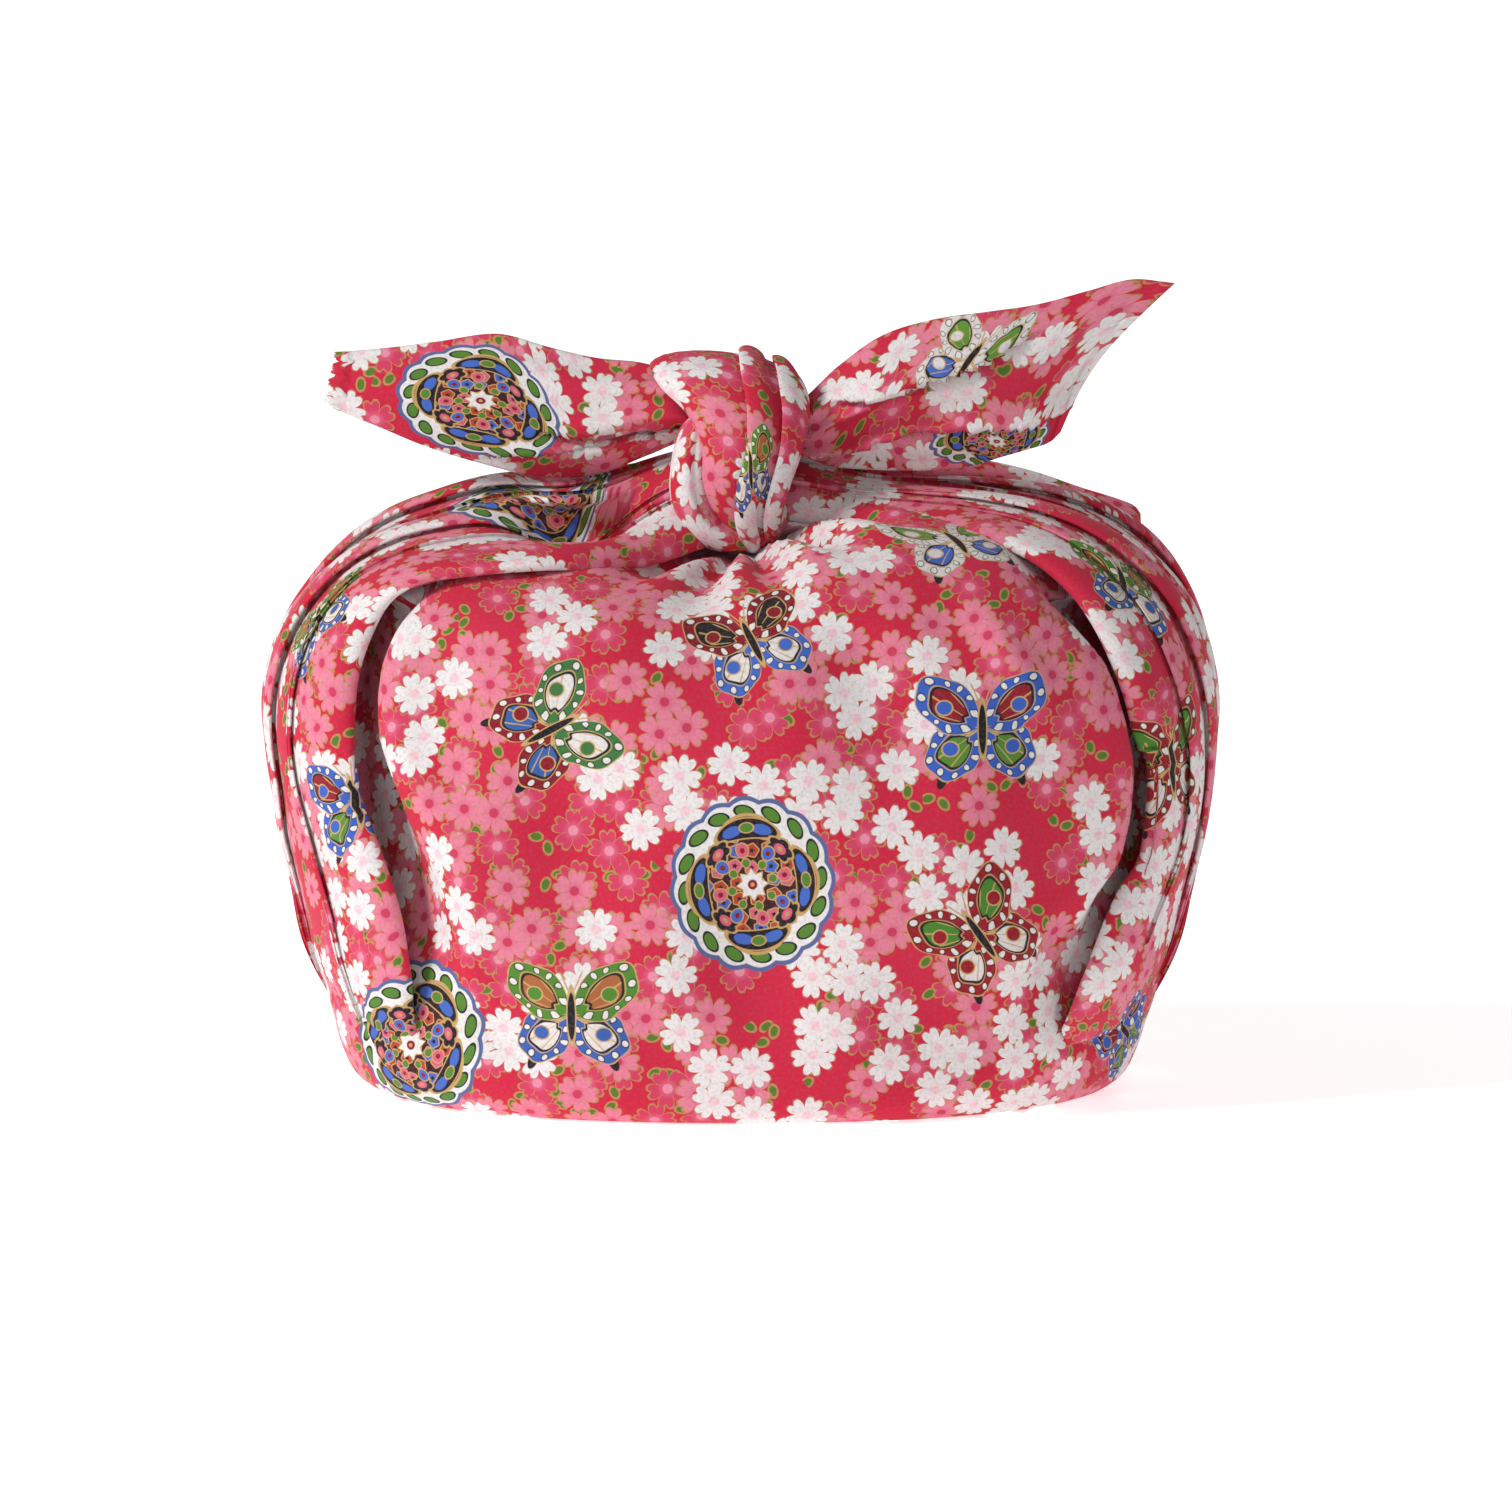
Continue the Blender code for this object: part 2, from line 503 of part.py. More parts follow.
def keep_outer_skin(mesh):
    """Fill voids shut in between the layers: only the largest skin stays."""
    work = bmesh.new()
    work.from_mesh(mesh)
    bmesh.ops.remove_doubles(work, verts=work.verts, dist=2e-5)
    bmesh.ops.dissolve_degenerate(work, edges=work.edges, dist=2e-5)
    bmesh.ops.triangulate(work, faces=work.faces)
    left = set(work.faces)
    skins = []
    while left:
        stack = [left.pop()]
        skin = []
        while stack:
            face = stack.pop()
            skin.append(face)
            for edge in face.edges:
                for other in edge.link_faces:
                    if other in left:
                        left.remove(other)
                        stack.append(other)
        skins.append(skin)
    skins.sort(key=len)
    for skin in skins[:-1]:
        bmesh.ops.delete(work, geom=skin, context="FACES")
    lone = [vert for vert in work.verts if not vert.link_faces]
    bmesh.ops.delete(work, geom=lone, context="VERTS")
    for face in work.faces:
        face.smooth = True
    for edge in work.edges:
        edge.smooth = edge.calc_face_angle(0.0) < SHARP_ANGLE
    work.to_mesh(mesh)
    work.free()


def join_layers(name, layers):
    """One solid from all the layers of the one cloth."""
    cloth = layers[0]
    for layer in layers[1:]:
        step = cloth.modifiers.new("join", "BOOLEAN")
        step.operation = "UNION"
        step.solver = "EXACT"
        step.object = layer
        graph = bpy.context.evaluated_depsgraph_get()
        graph.update()
        mesh = bpy.data.meshes.new_from_object(cloth.evaluated_get(graph))
        cloth.modifiers.clear()
        cloth.data = mesh
    mesh = cloth.data
    mesh.name = name
    keep_outer_skin(mesh)
    mesh.materials.clear()
    mesh.materials.append(cloth_material())
    thing = bpy.data.objects.new(name, mesh)
    PART.objects.link(thing)
    for layer in layers:
        bpy.data.objects.remove(layer, do_unlink=True)
    return thing


for old in list(bpy.data.objects):
    bpy.data.objects.remove(old, do_unlink=True)
PART = bpy.data.collections.new("furoshiki_bag")
GUIDES = bpy.data.collections.new("guides")
bpy.context.scene.collection.children.link(PART)
bpy.context.scene.collection.children.link(GUIDES)
MAIN_RIDGES = ((0.3, 0.07, 1.0), (0.55, 0.07, 1.3), (0.78, 0.07, 1.0))

LAYERS = [
    body_shell(),
    strap("left strap", LEFT_STRAP_ROWS, LEFT_PLEATS, -1.0),
    strap("right strap", RIGHT_STRAP_ROWS, RIGHT_PLEATS, 1.0),
    rounded_fold("shoulder lip", SHOULDER_LIP_ROWS, 9, 8),
    core(KNOT_CORE),
    rounded_fold("lower fold", LOWER_FOLD_ROWS, 11, 9),
    rounded_fold("back fold", BACK_FOLD_ROWS, 8, 8),
    band("main wrap", MAIN_WRAP_ROWS, 15, MAIN_RIDGES),
    ear("left ear", LEFT_EAR_ROWS, 13),
    ear("right ear", RIGHT_EAR_ROWS, 14),
]
join_layers("furoshiki_cloth", LAYERS)
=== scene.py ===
"""Furoshiki bag: one printed cotton square wrapped round a load and tied on top.

The cloth is dressed as its visible portions: the body wrap with its front panel and flap,
the two pleated straps, the knot, the fold behind the right shoulder and the two free ears.
Lengths are millimetres until a mesh is made, and metres in the meshes.
"""
from __future__ import annotations

import logging
from collections.abc import Callable
from dataclasses import dataclass, field
from enum import Enum

import bmesh
import bpy
import numpy as np
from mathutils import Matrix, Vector

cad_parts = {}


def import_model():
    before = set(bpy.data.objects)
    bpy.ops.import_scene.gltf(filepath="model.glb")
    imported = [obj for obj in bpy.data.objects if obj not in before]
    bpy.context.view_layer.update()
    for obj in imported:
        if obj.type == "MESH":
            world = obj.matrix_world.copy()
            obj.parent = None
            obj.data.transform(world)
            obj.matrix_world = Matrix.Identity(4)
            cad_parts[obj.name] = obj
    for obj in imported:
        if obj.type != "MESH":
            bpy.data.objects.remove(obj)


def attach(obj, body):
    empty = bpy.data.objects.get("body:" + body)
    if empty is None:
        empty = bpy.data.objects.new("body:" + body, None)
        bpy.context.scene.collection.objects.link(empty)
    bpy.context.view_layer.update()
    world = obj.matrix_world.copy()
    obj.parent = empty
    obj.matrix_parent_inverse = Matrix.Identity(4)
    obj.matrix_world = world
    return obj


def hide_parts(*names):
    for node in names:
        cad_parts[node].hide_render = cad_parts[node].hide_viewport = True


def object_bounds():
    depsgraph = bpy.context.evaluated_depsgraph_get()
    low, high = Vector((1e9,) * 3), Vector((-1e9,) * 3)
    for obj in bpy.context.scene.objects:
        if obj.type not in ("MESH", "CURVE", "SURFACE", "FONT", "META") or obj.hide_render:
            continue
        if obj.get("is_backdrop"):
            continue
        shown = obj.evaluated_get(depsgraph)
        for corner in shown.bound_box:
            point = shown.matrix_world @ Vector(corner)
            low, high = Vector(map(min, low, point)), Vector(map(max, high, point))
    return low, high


LOG = logging.getLogger("furoshiki")
MM = 0.001
CLOTH_NODE = "furoshiki_cloth"

# Heights in millimetres: the widest ring of the body, where the print's height is 0, and
# the top of the upright wall that the straps lie on.
WIDEST = 60.0
WALL_TOP = 104.0
BODY_MIDDLE = np.array((0.0, 0.0, WIDEST))

# Points round a ring of the body.
RING_POINTS = 288

# Where in the print the inner portions take their piece of it, so that none repeats another.
KNOT_PRINT = (2100.0, 40.0)
LOWER_FOLD_PRINT = (2300.0, 0.0)
BACK_FOLD_PRINT = (2400.0, 0.0)
SHOULDER_PRINT = (2500.0, 30.0)
CORE_PRINT = 2600.0
LEFT_EAR_PRINT = (4000.0, 0.0)
RIGHT_EAR_PRINT = (4400.0, 0.0)
EAR_BACK_SHIFT = 300.0

# A place in a motif that is outside all of them, in millimetres, and how near two points
# have to be for their patches to be sewn there, in metres.
FAR_OFF = 90.0
SEWING_REACH = 2e-6

# The photograph: the pixel column of the bag's middle, the pixel row of its foot, the size
# of a pixel in millimetres, the y of the panel, and the sine and cosine of the view's tilt.
MIDDLE_COLUMN = 740.0
FOOT_ROW = 1125.0
PIXEL = 0.2301
PANEL_DEPTH = -75.0
TILT_SINE = 0.139
TILT_COSINE = 0.99

# Body sections from the middle of the base to the slit: height, half width, front edge,
# back edge, squareness of the outline.
BODY_ROWS = (
    (0.0, 64.0, -52.0, 50.0, 2.2),
    (0.0, 80.0, -66.0, 64.0, 2.25),
    (1.0, 85.5, -70.5, 68.5, 2.3),
    (4.0, 89.0, -72.3, 70.0, 2.45),
    (10.0, 91.8, -73.3, 71.0, 2.65),
    (19.0, 94.2, -74.2, 71.8, 2.8),
    (35.0, 97.8, -75.5, 73.5, 2.85),
    (60.0, 101.8, -77.5, 75.5, 2.75),
    (84.0, 104.2, -77.0, 75.5, 2.7),
    (103.0, 100.8, -73.5, 72.5, 2.6),
    (115.0, 94.5, -68.0, 67.5, 2.5),
    (122.0, 87.0, -60.5, 62.0, 2.45),
    (126.0, 77.5, -51.0, 57.5, 2.4),
    (127.8, 68.0, -38.0, 53.0, 2.4),
    (127.8, 60.0, -20.0, 49.5, 2.4),
    (127.0, 54.0, 0.0, 46.0, 2.4),
    (127.3, 50.0, 17.0, 44.5, 2.4),
    (127.8, 44.0, 27.0, 41.0, 2.2),
)
WALL_ROWS = BODY_ROWS[2:14]

# Where the outline needs more points, for the folds beside the straps: share of the way
# round from the middle of the back, half width, how many times more.
DENSE_PLACES = (
    (0.165, 0.045, 0.9),
    (0.345, 0.045, 1.6),
    (0.655, 0.045, 1.6),
    (0.835, 0.045, 0.9),
)

# Front edge, crown and back edge (x, y, z each) of a strap, from the base up the side and
# over the shoulder into the knot: the columns of the crown, and how many rows lie beside
# the panels.
CROWN = [3, 4, 5]
ROWS_BESIDE_PANELS = 12
LEFT_STRAP_ROWS = (
    (-66.0, -44.0, 8.0, -84.0, 0.0, 8.0, -66.0, 44.0, 8.0),
    (-73.5, -55.0, 18.0, -92.0, 0.0, 18.0, -74.0, 54.0, 18.0),
    (-76.0, -61.0, 33.0, -99.5, 0.0, 33.0, -77.5, 60.0, 33.0),
    (-79.0, -61.5, 48.0, -102.0, 0.0, 48.0, -80.5, 60.0, 48.0),
    (-83.5, -60.0, 62.0, -104.5, 0.0, 62.0, -84.5, 58.0, 62.0),
    (-88.5, -55.0, 76.0, -106.8, 0.0, 76.0, -88.5, 54.0, 76.0),
    (-89.5, -53.0, 90.0, -107.5, 0.0, 91.0, -89.5, 51.0, 90.0),
    (-88.0, -49.5, 103.0, -104.0, 0.0, 104.0, -87.5, 48.0, 103.0),
    (-84.0, -47.0, 113.0, -98.0, 0.0, 113.5, -82.5, 45.0, 113.0),
    (-78.5, -48.5, 120.0, -90.0, 0.0, 122.0, -76.5, 41.0, 121.0),
    (-70.0, -50.0, 124.5, -80.5, 0.0, 128.5, -68.5, 34.0, 127.0),
    (-58.5, -51.0, 126.5, -68.5, 0.0, 133.5, -58.0, 25.0, 130.5),
    (-44.5, -50.5, 127.2, -55.0, -1.0, 137.8, -46.0, 17.0, 131.5),
    (-32.0, -46.0, 126.2, -40.0, -4.0, 140.5, -34.0, 10.0, 131.5),
    (-20.0, -38.0, 126.2, -26.0, -8.0, 142.5, -22.0, 5.0, 132.0),
    (-8.0, -28.0, 128.5, -12.0, -12.0, 146.5, -8.0, 3.0, 135.0),
)
RIGHT_STRAP_ROWS = (
    (66.0, -44.0, 8.0, 84.0, 0.0, 8.0, 66.0, 44.0, 8.0),
    (73.0, -55.5, 18.0, 92.5, 0.0, 18.0, 74.0, 54.0, 18.0),
    (79.0, -60.5, 32.0, 100.0, 0.0, 33.0, 79.0, 60.0, 33.0),
    (84.5, -56.5, 45.0, 102.5, 0.0, 46.0, 82.0, 60.0, 47.0),
    (91.0, -51.0, 60.0, 105.0, 0.0, 62.0, 85.5, 58.0, 62.0),
    (92.5, -50.0, 75.0, 107.0, 0.0, 76.0, 88.5, 54.0, 76.0),
    (90.5, -52.0, 91.0, 107.8, 0.0, 91.0, 89.5, 51.0, 90.0),
    (87.5, -51.5, 101.0, 105.2, 0.0, 104.0, 88.0, 48.0, 103.0),
    (83.0, -50.5, 111.0, 101.0, 0.0, 113.5, 84.0, 46.0, 113.0),
    (77.0, -49.0, 120.0, 94.0, 0.0, 122.5, 79.5, 42.0, 122.0),
    (69.0, -45.0, 127.0, 84.5, 0.0, 129.5, 72.0, 37.0, 128.0),
    (59.0, -39.0, 131.5, 72.5, 0.0, 134.5, 61.5, 29.0, 131.0),
    (47.0, -33.0, 133.5, 58.0, -2.0, 137.5, 49.0, 20.0, 132.0),
    (34.0, -28.0, 133.5, 43.0, -4.0, 139.5, 36.0, 13.0, 132.0),
    (22.0, -25.0, 133.0, 27.0, -7.0, 141.5, 23.0, 8.0, 132.0),
    (8.0, -21.0, 134.0, 11.0, -9.0, 146.0, 9.0, 4.0, 135.0),
)

# Pleats of a strap: place across it (0 front edge, 1 back edge), height, how far the cloth
# runs back under the fold, the shares of the way up between which it is deepest, and how
# far the place drifts on the way.
LEFT_PLEATS = (
    (0.185, 1.7, 2.5, 0.22, 0.52, 0.10),
    (0.330, 2.6, 3.5, 0.27, 0.85, -0.05),
    (0.500, 2.0, 3.0, 0.20, 0.56, 0.06),
    (0.650, 3.0, 4.0, 0.25, 0.90, -0.04),
    (0.840, 2.4, 3.5, 0.22, 0.60, 0.03),
)
RIGHT_PLEATS = (
    (0.130, 2.2, 2.5, 0.33, 0.66, 0.07),
    (0.275, 2.8, 3.5, 0.26, 0.90, -0.06),
    (0.450, 2.0, 3.0, 0.20, 0.54, 0.05),
    (0.620, 3.0, 4.0, 0.25, 0.85, -0.04),
    (0.830, 2.4, 3.5, 0.20, 0.60, 0.03),
)

# How far a strap's outer face lies outside the body wall at each height.
LIFT_ROWS = (
    (0.0, -3.0),
    (14.0, -2.4),
    (24.0, -0.8),
    (35.0, 1.2),
    (60.0, 2.8),
    (104.0, 2.8),
    (120.0, 2.0),
)

# How the panels sink beside a strap's edge: height, depth, width of the slope. The front
# left, the front right, and the back ones.
LEFT_VALLEY = (
    (0.0, 0.0, 8.0),
    (20.0, 0.0, 8.0),
    (29.0, 3.0, 10.0),
    (42.0, 8.0, 14.0),
    (58.0, 11.0, 16.0),
    (74.0, 12.5, 14.0),
    (88.0, 12.0, 9.0),
    (104.0, 10.5, 6.5),
    (116.0, 7.5, 6.5),
    (124.0, 3.0, 6.0),
    (130.0, 0.0, 6.0),
)
RIGHT_VALLEY = (
    (0.0, 0.0, 8.0),
    (14.0, 0.5, 9.0),
    (24.0, 4.5, 13.0),
    (40.0, 7.0, 14.0),
    (50.0, 6.5, 9.0),
    (58.0, 7.5, 4.0),
    (88.0, 9.0, 3.0),
    (104.0, 9.5, 3.0),
    (112.0, 11.0, 6.0),
    (118.0, 12.0, 11.0),
    (124.0, 9.0, 13.0),
    (130.0, 4.0, 10.0),
)
BACK_VALLEY = (
    (0.0, 0.0, 8.0),
    (30.0, 1.5, 8.0),
    (60.0, 5.0, 9.0),
    (100.0, 7.0, 7.0),
    (124.0, 3.0, 6.0),
    (130.0, 0.0, 6.0),
)

# Soft dents and swells of the front panel: x, z, half width, half height, turn in
# degrees, depth inwards (a swell is negative).
PANEL_DENTS = (
    (-69.0, 38.0, 5.0, 22.0, 8.0, 2.6),
    (72.0, 38.0, 4.5, 21.0, -17.0, 3.2),
    (58.0, 112.0, 4.0, 16.0, 38.0, -2.2),
    (-20.0, 112.0, 26.0, 4.0, 6.0, 1.6),
    (28.0, 108.0, 8.0, 10.0, -30.0, 1.4),
    (0.0, 62.0, 44.0, 30.0, 0.0, -1.6),
    (86.0, 36.0, 5.0, 18.0, 32.0, -1.8),
    (-44.0, 84.0, 9.0, 18.0, 20.0, 1.0),
    (-58.0, 22.0, 4.0, 14.0, 40.0, 1.5),
    (-74.0, 20.0, 3.5, 12.0, 30.0, 1.4),
    (62.0, 26.0, 5.0, 16.0, -35.0, 1.2),
)

# Bands of the knot: edge, crown and other edge of each section.
MAIN_WRAP_ROWS = (
    (-9.0, -2.0, 136.0, -1.0, 4.0, 134.0, 8.0, -2.0, 136.0),
    (-14.0, 2.0, 149.0, -2.0, 9.0, 149.0, 11.0, 1.0, 149.0),
    (-18.0, -2.0, 161.0, -4.0, 3.0, 164.0, 11.0, -3.0, 160.0),
    (-20.5, -10.0, 166.5, -4.0, -9.0, 170.0, 12.8, -11.0, 164.0),
    (-17.6, -19.0, 163.0, -2.0, -22.5, 167.0, 15.4, -18.5, 161.0),
    (-11.0, -24.0, 156.5, 1.5, -30.0, 158.5, 15.4, -22.0, 155.0),
    (-8.4, -26.5, 149.0, 3.0, -32.5, 150.0, 13.8, -24.0, 148.5),
    (-8.6, -27.0, 142.0, 2.5, -32.5, 142.0, 11.4, -24.5, 142.5),
    (-6.4, -26.0, 135.5, 3.0, -30.5, 135.0, 9.0, -24.5, 137.0),
    (-1.5, -22.5, 130.0, 4.0, -25.5, 128.8, 8.0, -21.0, 132.0),
    (0.0, -14.0, 133.0, 4.0, -16.0, 129.0, 7.0, -13.0, 134.0),
)

# Rounded folds: centre, half width across the front, half depth.
LOWER_FOLD_ROWS = (
    (-6.0, -14.0, 157.0, 3.0, 4.0),
    (-10.0, -20.0, 152.5, 4.0, 5.6),
    (-11.6, -23.5, 145.0, 4.4, 6.2),
    (-11.2, -24.5, 137.5, 4.6, 6.4),
    (-8.0, -24.5, 131.8, 4.4, 6.4),
    (-1.5, -23.5, 129.2, 3.6, 5.8),
    (5.0, -22.0, 129.6, 3.2, 5.2),
    (8.6, -19.5, 133.5, 2.8, 4.4),
    (8.0, -15.0, 137.0, 2.4, 3.4),
)
BACK_FOLD_ROWS = (
    (-13.0, -8.0, 138.0, 4.0, 5.0),
    (-9.0, 2.0, 136.0, 5.0, 5.5),
    (0.0, 5.5, 138.0, 5.0, 5.5),
    (9.0, 4.5, 143.0, 5.0, 5.5),
    (14.0, -1.0, 150.0, 5.0, 5.5),
    (13.0, -8.0, 156.0, 4.0, 5.0),
)
SHOULDER_LIP_ROWS = (
    (12.0, 2.0, 140.0, 3.2, 3.6),
    (36.0, 8.0, 139.5, 4.2, 4.0),
    (57.0, 13.0, 137.4, 4.6, 4.0),
    (67.0, 16.0, 134.4, 4.8, 3.8),
    (77.0, 18.5, 130.6, 4.8, 3.6),
    (86.0, 20.0, 127.6, 4.8, 3.2),
    (92.5, 20.5, 125.4, 4.4, 2.8),
)

# The lobes across an ear, from its lower to its upper edge: their places and spreads.
LOBE_PLACES = (0.0, 0.17, 0.37, 0.70, 1.0)
LOBE_SPREADS = (0.10, 0.13, 0.10, 0.16, 0.10)

# Ears from root to tip: lower edge (x, y, z), upper edge (x, y, z), how far the lower lobe,
# the crease and the upper lobe come forward, the thickness of the gathers, and how far
# the middle of the section bows to the right.
LEFT_EAR_ROWS = (
    (-4.0, -10.0, 148.0, -4.0, -10.0, 158.0, 0.0, 0.0, 0.0, 7.0, 0.0),
    (-12.0, -11.0, 150.0, -14.0, -11.0, 165.5, 3.0, 0.5, 3.0, 6.4, 0.0),
    (-21.0, -11.0, 146.5, -22.0, -11.0, 167.8, 4.5, -0.5, 4.0, 5.0, 0.0),
    (-33.5, -12.0, 142.0, -33.0, -11.0, 169.0, 5.5, 0.5, 4.0, 4.0, 0.0),
    (-46.0, -13.0, 141.8, -43.5, -12.0, 171.5, 5.0, 2.0, 3.5, 3.2, 0.0),
    (-60.0, -13.0, 145.0, -55.5, -12.0, 174.6, 4.0, 2.6, 2.6, 2.8, 0.0),
    (-73.0, -12.0, 149.0, -70.0, -11.0, 172.6, 3.0, 2.4, 2.0, 2.6, 0.0),
    (-84.0, -11.0, 153.5, -82.0, -10.0, 171.0, 2.0, 1.6, 1.0, 2.4, 0.0),
    (-95.0, -9.0, 157.5, -92.5, -9.0, 170.0, 0.5, 0.8, 0.5, 2.3, 0.0),
)
RIGHT_EAR_ROWS = (
    (4.0, -10.0, 148.0, 4.0, -10.0, 158.0, 0.0, 0.0, 0.0, 7.0, 0.0),
    (13.0, -11.0, 146.8, 14.5, -11.0, 160.5, 3.5, 0.5, 3.0, 6.4, 0.0),
    (20.0, -12.0, 144.2, 22.5, -11.0, 167.5, 5.5, 0.0, 4.5, 5.2, 0.0),
    (30.4, -13.0, 143.4, 32.0, -12.0, 174.3, 6.0, 0.5, 6.0, 4.2, 0.0),
    (41.5, -13.0, 143.2, 44.0, -12.0, 178.2, 5.5, 2.0, 6.0, 3.4, 0.0),
    (52.0, -13.0, 144.0, 57.0, -12.0, 180.2, 4.8, 2.5, 5.0, 3.0, 0.0),
    (60.5, -12.0, 146.3, 69.0, -11.0, 181.5, 4.0, 2.0, 3.6, 2.7, 0.0),
    (66.5, -11.0, 147.9, 80.0, -9.0, 184.2, 2.6, 1.4, 2.4, 2.5, -1.0),
    (71.0, -10.0, 149.3, 90.5, -7.0, 186.6, 1.4, 0.8, 1.4, 2.4, -2.4),
    (73.6, -9.0, 151.6, 99.7, -5.0, 185.4, 0.5, 0.4, 0.5, 2.3, -3.8),
)


def smooth(value: np.ndarray | float) -> np.ndarray | float:
    """A soft step from 0 to 1: three times the square less twice the cube."""
    t = np.clip(value, 0.0, 1.0)
    return t * t * (3.0 - 2.0 * t)


def bell(value: np.ndarray | float) -> np.ndarray | float:
    """A soft hump: e to the power of minus the square."""
    return np.exp(-np.square(value))


def curve_through(rows: tuple, count: int, columns: list[int]) -> np.ndarray:
    """Rows at even steps along a smooth curve through a table's rows.

    Each span is a cubic Hermite piece whose end slopes are the table's own gradient
    over the length measured in the chosen columns.

    Args:
        rows: The table.
        count: How many rows to return.
        columns: The columns whose straight-line length sets the spacing.

    Returns:
        An array of count rows.
    """
    table = np.asarray(rows, float)
    steps = np.linalg.norm(np.diff(table[:, columns], axis=0), axis=1)
    knots = np.concatenate([[0.0], np.cumsum(np.maximum(steps, 1e-6))])
    slopes = np.gradient(table, knots, axis=0)
    where = np.linspace(0.0, knots[-1], count)
    i = np.clip(np.searchsorted(knots, where, side="right") - 1, 0, len(knots) - 2)
    span = knots[i + 1] - knots[i]
    t = ((where - knots[i]) / span)[:, None]
    h = span[:, None]
    a = (2 * t**3 - 3 * t**2 + 1) * table[i] + (t**3 - 2 * t**2 + t) * h * slopes[i]
    b = (-2 * t**3 + 3 * t**2) * table[i + 1] + (t**3 - t**2) * h * slopes[i + 1]
    return a + b


def rounded_outline(
    half_width: float, front: float, back: float, squareness: float, count: int
) -> np.ndarray:
    """Points round a superellipse, denser where the folds are, from the middle of the back.

    Args:
        half_width: Half the width along x.
        front: The lowest y.
        back: The highest y.
        squareness: The superellipse's power.
        count: How many points.

    Returns:
        An array (count, 2) of x and y, going by +x to the front and back by -x.
    """
    angle = np.linspace(0.0, 2.0 * np.pi, 2881)
    power = 2.0 / squareness
    x = half_width * np.sign(np.sin(angle)) * np.abs(np.sin(angle)) ** power
    y = np.sign(np.cos(angle)) * np.abs(np.cos(angle)) ** power
    y = 0.5 * (front + back) + 0.5 * (back - front) * y
    length = np.concatenate([[0.0], np.cumsum(np.hypot(np.diff(x), np.diff(y)))])
    share = length / length[-1]
    density = np.ones(len(share))
    for place, width, more in DENSE_PLACES:
        density += more * bell((share - place) / width)
    grown = 0.5 * (density[1:] + density[:-1]) * np.diff(share)
    packed = np.concatenate([[0.0], np.cumsum(grown)])
    where = np.linspace(0.0, packed[-1], count, endpoint=False)
    return np.column_stack([np.interp(where, packed, x), np.interp(where, packed, y)])


def wall_section(z: np.ndarray | float) -> list[np.ndarray]:
    """Half width, front edge, back edge and squareness of the body wall at a height."""
    table = np.asarray(WALL_ROWS)
    return [np.interp(z, table[:, 0], table[:, k]) for k in range(1, 5)]


def wall_side(y: np.ndarray, z: np.ndarray) -> np.ndarray:
    """Half width of the body wall where it is a given depth and height, by the superellipse.

    Args:
        y: Depths, negative in front.
        z: Heights.

    Returns:
        The distance from the middle plane to the wall.
    """
    half_width, front, back, squareness = wall_section(z)
    share = np.abs(y - 0.5 * (front + back)) / (0.5 * (back - front))
    share = np.clip(share, 0.0, 0.999)
    return half_width * (1.0 - share**squareness) ** (1.0 / squareness)


def edge_at(rows: tuple, first: int, z: np.ndarray) -> tuple[np.ndarray, np.ndarray]:
    """Place of a strap's edge at a height, read off its table.

    Args:
        rows: The strap's table.
        first: The column of the edge's x.
        z: Heights.

    Returns:
        x and y of the edge.
    """
    table = np.asarray(rows)[:ROWS_BESIDE_PANELS]
    x = np.interp(z, table[:, first + 2], table[:, first])
    y = np.interp(z, table[:, first + 2], table[:, first + 1])
    return x, y


def front_arc(x: float, y: float, z: float) -> float:
    """Length round the body wall from the middle of its front to a place beside it.

    Args:
        x: The place's distance from the middle plane, of either sign.
        y: Its depth.
        z: Its height.

    Returns:
        The length in millimetres.
    """
    values = [float(value) for value in wall_section(z)]
    outline = rounded_outline(*values, RING_POINTS)[RING_POINTS // 2 :]
    steps = np.hypot(*np.diff(outline, axis=0).T)
    length = np.concatenate([[0.0], np.cumsum(steps)])
    away = np.hypot(outline[:, 0] + abs(x), outline[:, 1] - y)
    return float(length[np.argmin(away)])


def running_length(points: np.ndarray, axis: int) -> np.ndarray:
    """Length along one axis of a grid, summed from its first row or column.

    Args:
        points: The grid (rows, columns, 3).
        axis: 0 to run down the columns, 1 to run across the rows.

    Returns:
        The lengths (rows, columns).
    """
    steps = np.linalg.norm(np.diff(points, axis=axis), axis=2)
    start = np.zeros_like(np.take(steps, [0], axis=axis))
    return np.concatenate([start, np.cumsum(steps, axis=axis)], axis=axis)


def half_ellipses(rows: np.ndarray, columns: int) -> np.ndarray:
    """Sections that run from a near edge over a crown to a far edge.

    Args:
        rows: Near edge, crown and far edge (x, y, z each) of each section.
        columns: Points in a section.

    Returns:
        A grid (rows, columns, 3).
    """
    near, crown, far = rows[:, None, 0:3], rows[:, None, 3:6], rows[:, None, 6:9]
    middle = 0.5 * (near + far)
    half = 0.5 * (far - near)
    phi = np.linspace(0.0, np.pi, columns)[None, :, None]
    return middle - half * np.cos(phi) + (crown - middle) * np.sin(phi)


def unit(vectors: np.ndarray) -> np.ndarray:
    """The vectors at length one."""
    return vectors / np.maximum(np.linalg.norm(vectors, axis=-1, keepdims=True), 1e-9)


